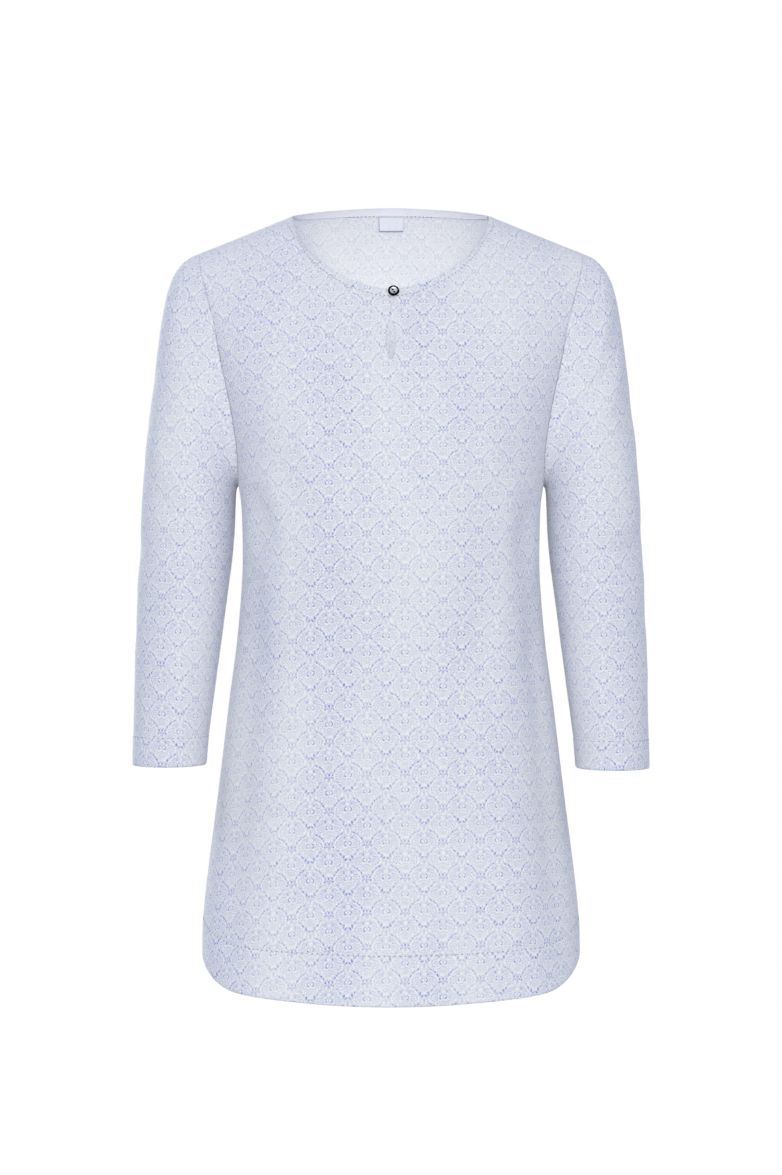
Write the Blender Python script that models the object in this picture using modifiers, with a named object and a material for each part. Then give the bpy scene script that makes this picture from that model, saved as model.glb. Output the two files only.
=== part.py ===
"""A woman's tunic top, standing open as if it were worn: front with a keyhole slit, back,
two three-quarter set-in sleeves, neck tape, blank label and one small metal button.

Units here are millimetres until a mesh is made; meshes are in metres, +Z up, front towards -Y.
The origin is midway between the two neck points, where the shoulder seams meet the neck,
so a height is written as a drop: the distance below the neck points.
"""

import functools
import math

import bmesh
import bpy
import numpy as np
from mathutils import Matrix, Vector

MM = 0.001

# Driving dimensions, in mm
CLOTH = 1.5  # thickness of a cloth wall
SEAM_GAP = 0.3  # between two pieces that are sewn together
HEM_DROP = 746.0  # neck point to hem, at centre front and centre back
UNDERARM_DROP = 262.0  # neck point to the bottom of the armhole
SHOULDER_X = 185.5  # centre to the shoulder point
SHOULDER_DROP = 37.0  # how far the shoulder seam falls on its way out
NECK_X = 95.0  # half the width of the neck
FRONT_NECK_DROP = 81.0
FRONT_NECK_REACH = 78.0  # how far the front neck edge stands forward at its centre
BACK_NECK_RISE = 18.2
BACK_NECK_REACH = 70.0
NECK_ROUND = 1.14  # 1 is a true ellipse; more is narrower between side and centre
NECK_LEVEL = 0.8  # under 1 keeps the front neck edge level as it leaves the neck point
BACK_NECK_LEVEL = 1.2  # over 1 does the same at the back
YOKE_SOFT = 0.14  # share of a panel's half over which the bend below the neck point is spread
NECK_LEAN = {"front": 0.42, "back": 0.30}  # how far a panel leans in at the centre of its neck edge
NECK_STEEP = 0.92  # how steeply it rises there
SHOULDER_STEEP = 0.10  # and at the shoulder seam, where it runs nearly level
ROUND_LEAVE = 1.0  # how far a panel keeps its direction as it leaves chest level
ROUND_ARRIVE = 0.75  # and as it comes to its top edge
ROUNDER_FROM = 0.35  # share of a panel's half from which the shoulder is rounder than that
ROUNDER_SPAN = 0.4
ROUNDER_LEAVE = 0.15
ROUNDER_ARRIVE = 0.10
CUFF_SHORTER = 3.0  # the right sleeve hangs this much higher than the left one
BODY_ROUND = 2.6  # exponent of the level sections: 2 is an ellipse, more is squarer

SLIT_TOP_GAP = 0.5  # between the slit's edges where the button holds them together
SLIT_WIDE = 8.6  # the keyhole at its widest
SLIT_OPENS_DROP = 108.0  # where the edges begin to part
SLIT_LOW = 1.15  # over 1 puts the keyhole's widest place lower
SLIT_FULL = 0.8  # under 1 makes it fuller towards its ends

HEM_SIDE_RISE = 22.0  # the hem's even curve up to the side seams
HEM_CORNER_RISE = 14.0  # and the quicker turn upwards near the seams
HEM_CORNER_FROM = 0.6  # share of the panel's half where that turn begins
HEM_CORNER_SPAN = 0.3
HEM_LIFT_DROP = 480.0  # above this height the hem's curve no longer lifts the cloth

TAPE_WIDTH = 8.0
TAPE_THICK = 1.0
TAPE_PROUD = 0.8  # the tape covers the back neck's raw edge by this much
TAPE_SHORT = 0.25  # of a column, left free between the tape and each shoulder seam
LABEL_WIDTH = 25.0
LABEL_HEIGHT = 14.0
LABEL_THICK = 0.8
INSIDE_GAP = 0.6  # between the back and what is sewn inside its neck edge
LABEL_HANGS_IN = 0.2  # the label hangs this much further in than the tape's near side
BUTTON_RADIUS = 5.35
BUTTON_HEIGHT = 3.0
BUTTON_X = 2.4
BUTTON_BELOW_EDGE = 2.9

# How finely the walls are divided
HALF_COLUMNS = 16  # from the centre of a panel to its side
NECK_COLUMNS = 8  # of those, how many end on the neck edge
SKIRT_ROWS = 15  # hem to underarm
ARM_ROWS = 6  # underarm to chest level
YOKE_ROWS = 9  # chest level to shoulder and neck
SLEEVE_ROWS = 19

CHEST_DROP = (SHOULDER_DROP + UNDERARM_DROP) / 2
ARMHOLE_HALF = (UNDERARM_DROP - SHOULDER_DROP) / 2

# The body by height. width is half the front view; front and back are depths from the side seams.
BODY = {
    "drop": [40, 100, 150, 200, 262, 280, 303, 349, 372, 419, 466, 512, 578, 648, 708, 760],
    "width": [
        147, 147, 147, 147, 147, 144.5, 143.5, 143.5,
        145, 149.5, 155.8, 161.2, 168.2, 175.6, 181, 182,
    ],
    "front": [
        76, 90, 104, 116.5, 125, 126, 125.5, 121.5,
        118.5, 114, 112.5, 112.5, 114.5, 118, 121, 122,
    ],
    "back": [88, 98, 103, 104, 101, 99.5, 97, 93, 92, 94, 100, 108, 118, 125, 128, 129],
}

# The armhole edge by height: how far out it lies on the front and on the back.
ARMHOLE = {
    "drop": [37, 60, 88, 110, 133, 156, 180, 208, 238, 262],
    "front": [185.5, 181.5, 174.0, 168.6, 164.2, 159.6, 154.4, 149.6, 146.6, 147],
    "back": [185.5, 183.5, 178.5, 174.0, 169.6, 164.6, 158.8, 153.0, 148.4, 147],
}
ARMHOLE_DEPTH = {"front": 53.0, "back": 59.0}
ARMHOLE_FULL = 0.86  # under 1 makes the armhole an egg rather than an ellipse

# The sleeve by ring. Each ring spans from its outer point (over the arm) to its inner point
# (under it); depth is half its size front to back, forward moves the ring towards the front.
SLEEVE = {
    "outer_x": [
        185.5, 196.0, 205.0, 212.0, 217.5, 222.0, 226.0, 230.0, 234.0, 237.3,
        240.2, 241.8, 242.8, 244.7, 246.0, 246.4, 246.6, 246.9, 247.4, 247.8,
    ],
    "outer_drop": [
        37, 42, 50.5, 62, 79, 103, 132, 165, 200, 236,
        272, 308, 344, 380, 410, 436, 460, 484, 509, 533,
    ],
    "inner_x": [
        147, 148.6, 149.6, 150.1, 150.3, 150.5, 150.6, 150.7, 150.9, 151.2,
        152.2, 154.0, 157.0, 160.5, 163.7, 166.7, 169.6, 172.7, 175.5, 177.3,
    ],
    "inner_drop": [
        262, 262.8, 264.2, 266, 268.6, 272, 276.5, 282.5, 291, 303,
        319, 338, 362, 389, 415, 438, 461, 484.5, 509, 533,
    ],
    "depth": [
        54, 55, 55.5, 56, 56.5, 57, 57, 57, 56.5, 56,
        55, 54, 52.5, 51, 49.5, 48, 47, 46, 45, 44,
    ],
    "forward": [0, 0, 0, 0, 0.3, 0.8, 1.5, 2.5, 3.5, 5, 6.5, 8, 10, 12, 14, 16, 18, 20, 22, 24],
}
CAP_RINGS = 8  # over this many rings the sleeve turns from the armhole's shape to its own

# Soft folds in the skirt: where round the panel (0 centre, 1 side seam, minus is the wearer's
# right), how wide, where it starts, and how far it stands out at the hem.
FOLDS = {
    "front": [
        (-0.66, 0.17, 520, 3.4),
        (-0.36, 0.13, 600, -2.2),
        (-0.02, 0.15, 560, 1.8),
        (0.34, 0.14, 590, -2.4),
        (0.62, 0.16, 500, 3.8),
    ],
    "back": [
        (-0.70, 0.16, 470, 3.6),
        (-0.40, 0.15, 430, -3.0),
        (-0.10, 0.16, 450, 3.4),
        (0.24, 0.15, 440, -3.2),
        (0.56, 0.16, 480, 4.0),
    ],
}

SIGN = {"front": -1.0, "back": 1.0}


def read(table, column, at):
    """The value of a table's column between its rows, on a smooth curve through them."""
    x = np.asarray(table["drop"], float)
    y = np.asarray(table[column], float)
    slope = np.gradient(y, x)
    i = int(np.clip(np.searchsorted(x, at) - 1, 0, len(x) - 2))
    span = x[i + 1] - x[i]
    t = min(max((at - x[i]) / span, 0.0), 1.0)
    return (
        (1 + 2 * t) * (1 - t) ** 2 * y[i]
        + t * (1 - t) ** 2 * span * slope[i]
        + t * t * (3 - 2 * t) * y[i + 1]
        - t * t * (1 - t) * span * slope[i + 1]
    )


def ease(t):
    """0 below 0, 1 above 1, and smooth between."""
    t = np.clip(t, 0.0, 1.0)
    return t * t * (3 - 2 * t)


def unit(v):
    return v / max(float(np.linalg.norm(v)), 1e-9)


def armhole(side, turn):
    """A point of the armhole edge: turn is 0 at the shoulder point and pi at the underarm."""
    drop = CHEST_DROP - ARMHOLE_HALF * math.cos(turn)
    deep = ARMHOLE_DEPTH[side] * math.sin(turn) ** ARMHOLE_FULL if 0 < turn < math.pi else 0.0
    return np.array([read(ARMHOLE, side, drop), SIGN[side] * deep, -drop])


def level_edge(side, drop):
    """Where a level section of a panel ends: on the side seam, or on the armhole above it."""
    if drop >= UNDERARM_DROP:
        return read(BODY, "width", drop), 0.0
    turn = math.acos((CHEST_DROP - drop) / ARMHOLE_HALF)
    x, y, _ = armhole(side, turn)
    return x, abs(y)


@functools.lru_cache(maxsize=None)
def level_section(side, drop, steps=160):
    """Half of a level section as (x, depth) rows a short step apart, from the centre outwards."""
    depth = read(BODY, side, drop)
    edge_x, edge_y = level_edge(side, drop)
    power = 2 / BODY_ROUND
    wide = edge_x / (1 - (edge_y / depth) ** BODY_ROUND) ** (1 / BODY_ROUND)
    last = math.atan2((edge_x / wide) ** (1 / power), (edge_y / depth) ** (1 / power))
    angle = np.linspace(0, last, steps)
    return np.stack([wide * np.sin(angle) ** power, depth * np.cos(angle) ** power], axis=1)


def along(line, share):
    """The point at a share of a line's length."""
    lengths = np.concatenate([[0], np.cumsum(np.linalg.norm(np.diff(line, axis=0), axis=1))])
    at = share * lengths[-1]
    return np.array([np.interp(at, lengths, line[:, k]) for k in range(line.shape[1])])


def hem_rise(share, drop):
    """How far a point is lifted because the hem curves up towards the side seams."""
    x = abs(share)
    lift = HEM_SIDE_RISE * x**2 + HEM_CORNER_RISE * ease((x - HEM_CORNER_FROM) / HEM_CORNER_SPAN)
    return lift * ease((drop - HEM_LIFT_DROP) / (HEM_DROP - HEM_LIFT_DROP))


def fold_out(side, share, drop):
    """How far the skirt's soft folds move a point outwards."""
    out = 0.0
    for place, width, start, height in FOLDS[side]:
        grown = ease((drop - start) / (HEM_DROP - start))
        out += height * grown * math.exp(-(((share - place) / width) ** 2))
    return out * (1 - abs(share) ** 6)


def level_point(side, share, drop):
    """A point of a panel below chest level; share runs from -1 to 1 across the panel."""
    x, depth = along(level_section(side, drop), abs(share))
    out = fold_out(side, share, drop)
    depth = depth + out * (1 - abs(share) ** 3)
    x = x + out * abs(share) ** 3
    return np.array([math.copysign(x, share), SIGN[side] * depth, -drop + hem_rise(share, drop)])


def top_point(side, share):
    """A point of a panel's top edge: the neck edge in the middle, the shoulder seams beside it."""
    neck_share = NECK_COLUMNS / HALF_COLUMNS
    x = abs(share)
    if x <= neck_share:
        angle = x / neck_share * math.pi / 2
        if side == "front":
            point = [
                NECK_X * math.sin(angle) ** NECK_ROUND,
                -FRONT_NECK_REACH * max(math.cos(angle), 0.0) ** NECK_LEVEL,
                -FRONT_NECK_DROP * max(math.cos(angle), 0.0) ** NECK_ROUND,
            ]
        else:
            up = BACK_NECK_RISE * max(math.cos(angle), 0.0) ** BACK_NECK_LEVEL
            point = [NECK_X * math.sin(angle), BACK_NECK_REACH * math.cos(angle), up]
    else:
        t = (x - neck_share) / (1 - neck_share)
        point = [NECK_X + (SHOULDER_X - NECK_X) * t, 0.0, -SHOULDER_DROP * t]
    point[0] = math.copysign(point[0], share)
    return np.array(point)


def top_direction(side, share):
    """Which way a panel runs at its top edge: level at the shoulder, steeper at the neck."""
    neck_share = NECK_COLUMNS / HALF_COLUMNS
    turn = min(abs(share) / neck_share, 1.0) * math.pi / 2
    inwards = math.sin(turn) + NECK_LEAN[side] * math.cos(turn)
    upwards = SHOULDER_STEEP * math.sin(turn) + NECK_STEEP * math.cos(turn)
    return unit(np.array([0.0, -SIGN[side] * inwards, upwards]))


def yoke_point(side, share, up):
    """A point between chest level (up = 0) and the top edge (up = 1)."""
    step = 4.0
    start = level_point(side, share, CHEST_DROP)
    rising = unit(start - level_point(side, share, CHEST_DROP + step))
    end = top_point(side, share)
    gap = float(np.linalg.norm(end - start))
    over = ease((abs(share) - ROUNDER_FROM) / ROUNDER_SPAN)
    leave = rising * gap * (ROUND_LEAVE + ROUNDER_LEAVE * over)
    arrive = top_direction(side, share) * gap * (ROUND_ARRIVE + ROUNDER_ARRIVE * over)
    t = up
    return (
        (1 + 2 * t) * (1 - t) ** 2 * start
        + t * (1 - t) ** 2 * leave
        + t * t * (3 - 2 * t) * end
        - t * t * (1 - t) * arrive
    )


def soft_yoke_point(side, share, up):
    """The same, averaged across a short stretch, so no crease runs down from the neck point."""
    reach = min(YOKE_SOFT * math.sin(math.pi * up), 1 - abs(share)) / 2
    weights = {-2: 1, -1: 2, 0: 3, 1: 2, 2: 1}
    total = sum(w * yoke_point(side, share + k * reach, up) for k, w in weights.items())
    return total / sum(weights.values())


def panel_point(side, share, rise):
    """A point of the front or back.

    rise is 0 at the hem, 1 at the underarm, 2 at chest level and 3 at the top edge.
    """
    if rise <= 1:
        return level_point(side, share, HEM_DROP + (UNDERARM_DROP - HEM_DROP) * rise)
    if rise <= 2:
        turn = math.pi * (1 - (rise - 1) / 2)
        return level_point(side, share, CHEST_DROP - ARMHOLE_HALF * math.cos(turn))
    up = rise - 2
    point = soft_yoke_point(side, share, up)
    edge = armhole(side, math.pi / 2 * (1 - up))
    if share < 0:
        edge[0] = -edge[0]
    pull = abs(share) ** 8  # only the columns near the armhole follow its drawn edge
    return point + pull * (edge - soft_yoke_point(side, math.copysign(1.0, share), up))


def panel_normal(side, share, rise):
    """The outward direction of a panel, from two short steps along it."""
    step = 0.004
    low, high = max(share - step, -1.0), min(share + step, 1.0)
    if rise > 2 and abs(abs(share) - NECK_COLUMNS / HALF_COLUMNS) < step:
        low, high = (share, high) if share > 0 else (low, share)  # the neck point's shoulder side
    down, up = max(rise - step, 0.0), min(rise + step, 3.0)
    if rise in (1.0, 2.0):
        up = rise  # a row where the way of drawing changes belongs to the stretch below it
    across = panel_point(side, high, rise) - panel_point(side, low, rise)
    upward = panel_point(side, share, up) - panel_point(side, share, down)
    normal = unit(np.cross(across, upward))
    return normal if side == "front" else -normal


def rises():
    """The rows of a panel, from the hem to the top edge."""
    skirt = [i / SKIRT_ROWS for i in range(SKIRT_ROWS)]
    arm = [1 + i / ARM_ROWS for i in range(ARM_ROWS)]
    yoke = [2 + i / YOKE_ROWS for i in range(YOKE_ROWS + 1)]
    return skirt + arm + yoke


class Wall:
    """A cloth wall: points by name on its outer and inner side, and the faces between them."""

    def __init__(self):
        self.outer = {}
        self.inner = {}
        self.faces = []

    def point(self, key, outer, inner):
        self.outer[key] = outer
        self.inner[key] = inner

    def face(self, *keys):
        self.faces.append(keys)

    def build(self, name, material, collection):
        """One closed mesh: both sides, and a strip along every open edge."""
        mesh = bpy.data.meshes.new(name)
        bm = bmesh.new()
        out = {key: bm.verts.new(Vector(p) * MM) for key, p in self.outer.items()}
        ins = {key: bm.verts.new(Vector(p) * MM) for key, p in self.inner.items()}
        edges = {}
        for keys in self.faces:
            bm.faces.new([out[k] for k in keys])
            bm.faces.new([ins[k] for k in reversed(keys)])
            for a, b in zip(keys, keys[1:] + keys[:1]):
                edges[(a, b)] = True
        for a, b in edges:
            if (b, a) not in edges:
                bm.faces.new([out[b], out[a], ins[a], ins[b]])
        bmesh.ops.triangulate(bm, faces=bm.faces[:], quad_method="SHORT_EDGE")
        bmesh.ops.recalc_face_normals(bm, faces=bm.faces[:])
        bm.to_mesh(mesh)
        bm.free()
        return place(name, mesh, material, collection)


def place(name, mesh, material, collection):
    """Puts a mesh into the model with its material, shaded smooth but for its sharp rims."""
    mesh.materials.append(material)
    mesh.shade_smooth()
    mesh.set_sharp_from_angle(angle=math.radians(40))
    obj = bpy.data.objects.new(name, mesh)
    collection.objects.link(obj)
    return obj


def seam_shift(side, share, rise):
    """Half the seam gap, where a panel meets the other one at a side or shoulder seam."""
    at_side = abs(share) == 1 and rise <= 1
    at_shoulder = rise == 3 and abs(share) >= NECK_COLUMNS / HALF_COLUMNS
    if not (at_side or at_shoulder):
        return np.zeros(3)
    return np.array([0.0, SIGN[side] * SEAM_GAP / 2, 0.0])


def slit_half(drop):
    """Half the gap between the slit's edges at a height."""
    tip = CHEST_DROP
    opening = max(0.0, min(1.0, (drop - SLIT_OPENS_DROP) / (tip - SLIT_OPENS_DROP)))
    shape = math.sin(math.pi * opening**SLIT_LOW) ** SLIT_FULL if 0 < opening < 1 else 0.0
    return max(SLIT_TOP_GAP / 2, SLIT_WIDE / 2 * shape)


def panel(side, name, material, collection):
    """The front or the back, from hem to shoulder. The front is open along its keyhole slit."""
    wall = Wall()
    columns = range(-HALF_COLUMNS, HALF_COLUMNS + 1)
    rows = rises()
    slit_from = len(rows) - 1 - YOKE_ROWS  # the slit's tip is in this row
    for i, rise in enumerate(rows):
        for j in columns:
            share = j / HALF_COLUMNS
            point = panel_point(side, share, rise) + seam_shift(side, share, rise)
            inner = point - CLOTH * panel_normal(side, share, rise)
            if side == "front" and j == 0 and i > slit_from:
                half = np.array([slit_half(-point[2]), 0.0, 0.0])
                wall.point((i, "right edge"), point - half, inner - half)
                wall.point((i, "left edge"), point + half, inner + half)
            else:
                wall.point((i, j), point, inner)

    def corner(i, j, towards):
        if (i, j) in wall.outer:
            return (i, j)
        return (i, "left edge" if towards > 0 else "right edge")

    for i in range(len(rows) - 1):
        for j in range(-HALF_COLUMNS, HALF_COLUMNS):
            towards = 1 if j >= 0 else -1
            keys = (
                corner(i, j, towards),
                corner(i, j + 1, towards),
                corner(i + 1, j + 1, towards),
                corner(i + 1, j, towards),
            )
            wall.face(*(keys if side == "front" else keys[::-1]))
    return wall.build(name, material, collection)


def armhole_turns():
    """The armhole's points, as turns from the shoulder point down to the underarm."""
    yoke = [math.pi / 2 * i / YOKE_ROWS for i in range(YOKE_ROWS)]
    lower = [math.pi / 2 * (1 + i / ARM_ROWS) for i in range(ARM_ROWS + 1)]
    return yoke + lower


def sleeve_ring():
    """The points of one ring as (side, turn): down the front to the underarm, then up the back."""
    turns = armhole_turns()
    down = [("front", t) for t in turns]
    up = [("back", t) for t in reversed(turns[1:-1])]
    return down + up


def armhole_rim(side, turn):
    """The panel's outer and inner rim point at the wearer's left armhole, and the way onwards."""
    rise = 3 - turn / (math.pi / 2)
    if turn in (0.0, math.pi):
        rise = {0.0: 3.0, math.pi: 1.0}[turn]
    outer = panel_point(side, 1.0, rise)
    normal = panel_normal(side, 1.0, rise)
    step = 0.01
    ahead = armhole(side, min(turn + step, math.pi))
    behind = armhole(side, max(turn - step, 0.0))
    edge = ahead - behind
    if turn in (0.0, math.pi):
        edge = np.array([0.0, SIGN[side], 0.0]) * (1 if turn == 0 else -1)
    onward = unit(np.cross(edge, normal)) * (-SIGN[side])
    return outer, outer - CLOTH * normal, -onward


def sleeve_value(column, along_sleeve):
    """A SLEEVE column between its rings; along_sleeve is 0 at the armhole and 1 at the cuff."""
    values = SLEEVE[column]
    table = {"drop": list(range(len(values))), column: values}
    return read(table, column, along_sleeve * (len(values) - 1))


def sleeve_oval(along_sleeve, side, turn):
    """A point of the sleeve's own oval ring."""
    outer, inner = (
        np.array([
            sleeve_value(end + "_x", along_sleeve), 0.0, -sleeve_value(end + "_drop", along_sleeve)
        ])
        for end in ("outer", "inner")
    )
    deep = sleeve_value("depth", along_sleeve)
    middle = (outer + inner) / 2
    point = middle + (outer - inner) / 2 * math.cos(turn)
    point[1] = SIGN[side] * deep * math.sin(turn) if 0 < turn < math.pi else 0.0
    point[1] -= sleeve_value("forward", along_sleeve)
    return point


def sleeve_point(along_sleeve, side, turn):
    """A point of the sleeve: the armhole's shape at its head, its own oval further down."""
    oval = sleeve_oval(along_sleeve, side, turn)
    keep = 1 - ease(along_sleeve * SLEEVE_ROWS / CAP_RINGS)
    rise = 3 - turn / (math.pi / 2)
    return oval + keep * (panel_point(side, 1.0, rise) - sleeve_oval(0.0, side, turn))


def sleeve_normal(along_sleeve, side, turn):
    """The sleeve's outward direction there."""
    step = 0.004
    low, high = max(along_sleeve - step, 0.0), min(along_sleeve + step, 1.0)
    down = sleeve_point(high, side, turn) - sleeve_point(low, side, turn)
    swing = 0.02
    if 0 < turn < math.pi:
        on = sleeve_point(along_sleeve, side, min(turn + swing, math.pi))
        before = sleeve_point(along_sleeve, side, max(turn - swing, 0.0))
        round_it = (on - before) * -SIGN[side]
    else:
        front = sleeve_point(along_sleeve, "front", abs(turn - swing))
        back = sleeve_point(along_sleeve, "back", abs(turn - swing))
        round_it = (front - back) * (1 if turn == 0 else -1)
    return unit(np.cross(round_it, down))


def sleeve(name, mirror, shorter, material, collection):
    """A set-in sleeve for the wearer's left; mirror -1 makes it the right one.

    shorter is how much less long it is, in mm.
    """
    wall = Wall()
    ring = sleeve_ring()
    for i in range(SLEEVE_ROWS + 1):
        for j, (side, turn) in enumerate(ring):
            if i == 0:
                outer, inner, onward = armhole_rim(side, turn)
                outer = outer + SEAM_GAP * onward
                inner = inner + SEAM_GAP * onward
            else:
                outer = sleeve_point(i / SLEEVE_ROWS, side, turn)
                inner = outer - CLOTH * sleeve_normal(i / SLEEVE_ROWS, side, turn)
            flip = np.array([mirror, 1.0, 1.0])
            lift = np.array([0.0, 0.0, shorter * (i / SLEEVE_ROWS) ** 2])
            wall.point((i, j), outer * flip + lift, inner * flip + lift)
    for i in range(SLEEVE_ROWS):
        for j in range(len(ring)):
            k = (j + 1) % len(ring)
            keys = ((i, j), (i, k), (i + 1, k), (i + 1, j))
            wall.face(*(keys if mirror > 0 else keys[::-1]))
    return wall.build(name, material, collection)


def facet_point(side, share, rise, depth):
    """A point depth mm in from the outer side of a panel's own flat facets."""
    rows = rises()
    i = min(sum(1 for r in rows if r <= rise) - 1, len(rows) - 2)
    j = min(math.floor(share * HALF_COLUMNS), HALF_COLUMNS - 1)
    down = (rise - rows[i]) / (rows[i + 1] - rows[i])
    over = share * HALF_COLUMNS - j
    total = np.zeros(3)
    for row, part in ((i, 1 - down), (i + 1, down)):
        for column, piece in ((j, 1 - over), (j + 1, over)):
            here = (side, column / HALF_COLUMNS, rows[row])
            total += part * piece * (panel_point(*here) - depth * panel_normal(*here))
    return total


def inside_back(share, below_edge, depth):
    """A point inside the back: mm down from its neck edge, and mm in from its outer side."""
    top, step = 3.0, 0.1
    run = facet_point("back", share, top, 0) - facet_point("back", share, top - step, 0)
    down = below_edge / float(np.linalg.norm(run))
    return facet_point("back", share, top - step * down, depth)


def patch(name, material, collection, shares, belows, near, thick):
    """A thin piece that lies inside the back panel, near mm from its outer side."""
    wall = Wall()
    for i, below in enumerate(belows):
        for j, share in enumerate(shares):
            facing = inside_back(share, below, near + thick)
            wall.point((i, j), inside_back(share, below, near), facing)
    for i in range(len(belows) - 1):
        for j in range(len(shares) - 1):
            wall.face((i, j), (i, j + 1), (i + 1, j + 1), (i + 1, j))
    return wall.build(name, material, collection)


def neck_tape(material, collection):
    """The plain tape inside the back neck, from one shoulder seam to the other."""
    reach = (NECK_COLUMNS - TAPE_SHORT) / HALF_COLUMNS
    inner = [j / HALF_COLUMNS for j in range(1 - NECK_COLUMNS, NECK_COLUMNS)]
    shares = [-reach, *inner, reach]
    belows = [-TAPE_PROUD, TAPE_WIDTH / 2, TAPE_WIDTH]
    return patch("neck_tape", material, collection, shares, belows, CLOTH + INSIDE_GAP, TAPE_THICK)


def label(material, collection):
    """The blank label, hanging just under the tape at centre back."""
    column = panel_point("back", 1 / HALF_COLUMNS, 3.0) - panel_point("back", 0.0, 3.0)
    half = LABEL_WIDTH / 2 / float(np.linalg.norm(column)) / HALF_COLUMNS
    shares = [-half, 0.0, half]
    top = TAPE_WIDTH + SEAM_GAP
    belows = [top, top + LABEL_HEIGHT / 2, top + LABEL_HEIGHT]
    near = CLOTH + INSIDE_GAP + LABEL_HANGS_IN
    return patch("label", material, collection, shares, belows, near, LABEL_THICK)


def button(material, collection):
    """A domed metal button, turned from its profile, seated on the front at the neck edge."""
    rim = BUTTON_RADIUS
    profile = [
        (0.0, BUTTON_HEIGHT),
        (0.45 * rim, 0.93 * BUTTON_HEIGHT),
        (0.80 * rim, 0.70 * BUTTON_HEIGHT),
        (0.97 * rim, 0.48 * BUTTON_HEIGHT),
        (rim, 0.34 * BUTTON_HEIGHT),
        (0.94 * rim, 0.18 * BUTTON_HEIGHT),
        (0.50 * rim, 0.0),
        (0.0, 0.0),
    ]
    mesh = bpy.data.meshes.new("button")
    bm = bmesh.new()
    verts = [bm.verts.new((r * MM, 0.0, h * MM)) for r, h in profile]
    for a, b in zip(verts, verts[1:]):
        bm.edges.new((a, b))
    bm.to_mesh(mesh)
    bm.free()
    obj = place("button", mesh, material, collection)
    screw = obj.modifiers.new("turned", "SCREW")
    screw.steps = 24
    screw.render_steps = 24
    screw.use_merge_vertices = True
    screw.merge_threshold = 0.00001
    screw.use_smooth_shade = True
    edge = panel_point("front", 0.0, 3.0)
    down = unit(panel_point("front", 0.0, 2.9) - edge)
    normal = panel_normal("front", 0.0, 2.97)
    seat = edge + down * BUTTON_BELOW_EDGE + normal * SEAM_GAP + np.array([BUTTON_X, 0.0, 0.0])
    across = Vector((1.0, 0.0, 0.0))
    out = Vector(normal)
    turn = Matrix((across, out.cross(across), out)).transposed().to_4x4()
    obj.matrix_world = Matrix.Translation(Vector(seat) * MM) @ turn
    return obj


def finish(name, colour, roughness, metallic=0.0):
    """A plain Principled material."""
    material = bpy.data.materials.new(name)
    material.use_nodes = True
    shader = material.node_tree.nodes["Principled BSDF"]
    shader.inputs["Base Color"].default_value = (*colour, 1.0)
    shader.inputs["Roughness"].default_value = roughness
    shader.inputs["Metallic"].default_value = metallic
    material.diffuse_color = (*colour, 1.0)
    return material


def main():
    for obj in list(bpy.data.objects):
        bpy.data.objects.remove(obj)
    collection = bpy.data.collections.new("tunic_top")
    bpy.context.scene.collection.children.link(collection)
    printed = finish("printed_viscose", (0.70, 0.73, 0.84), 0.85)
    tape = finish("cotton_tape", (0.76, 0.77, 0.88), 0.8)
    woven = finish("woven_label", (0.86, 0.87, 0.92), 0.6)
    metal = finish("dark_nickel", (0.22, 0.22, 0.24), 0.25, metallic=1.0)
    panel("front", "front", printed, collection)
    panel("back", "back", printed.copy(), collection)
    sleeve("sleeve_left", 1.0, 0.0, printed.copy(), collection)
    sleeve("sleeve_right", -1.0, CUFF_SHORTER, printed.copy(), collection)
    neck_tape(tape, collection)
    label(woven, collection)
    button(metal, collection)


main()
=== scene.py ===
# %% [markdown]
# # A printed tunic top
#
# The garment hangs filled out, with nobody in it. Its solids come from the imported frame. This
# script dresses them: thin cloth shells on the same form, a printed repeat, hems, stitches,
# a neck tape, a blank label and a small metal button.

# %% Frame and camera
import math

import bpy
import numpy as np
from mathutils import Matrix, Vector


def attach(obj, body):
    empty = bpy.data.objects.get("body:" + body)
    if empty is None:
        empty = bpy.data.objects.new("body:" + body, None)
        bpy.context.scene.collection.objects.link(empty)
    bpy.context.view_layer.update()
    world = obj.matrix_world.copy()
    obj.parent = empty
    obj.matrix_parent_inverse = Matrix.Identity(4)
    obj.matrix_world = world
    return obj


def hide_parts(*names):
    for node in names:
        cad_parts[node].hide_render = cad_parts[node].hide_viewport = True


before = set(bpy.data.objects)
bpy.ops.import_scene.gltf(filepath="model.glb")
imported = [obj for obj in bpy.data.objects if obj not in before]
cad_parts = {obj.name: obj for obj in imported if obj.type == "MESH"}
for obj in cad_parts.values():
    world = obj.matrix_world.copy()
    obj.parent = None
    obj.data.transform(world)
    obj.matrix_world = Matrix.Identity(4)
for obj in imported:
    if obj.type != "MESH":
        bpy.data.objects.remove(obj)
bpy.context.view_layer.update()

MM = 0.001
print("solids to dress:", ", ".join(sorted(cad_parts)))

# %% [markdown]
# ## The camera
#
# A long lens, a few metres away and level with the garment's middle, keeps its near parts from
# looking bulged. The lens follows from how much of the garment's own plane is seen.

# %% The camera
CAMERA_AWAY = 2.3
CAMERA_HEIGHT = -0.3604
VIEW_TALL = 1.1398  # metres seen from top to bottom at the garment's middle
SENSOR_TALL = 36.0


def add_object(name, data, place=(0.0, 0.0, 0.0)):
    """A new object in the scene, at a place in metres."""
    thing = bpy.data.objects.new(name, data)
    thing.location = place
    bpy.context.scene.collection.objects.link(thing)
    return thing


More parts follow.
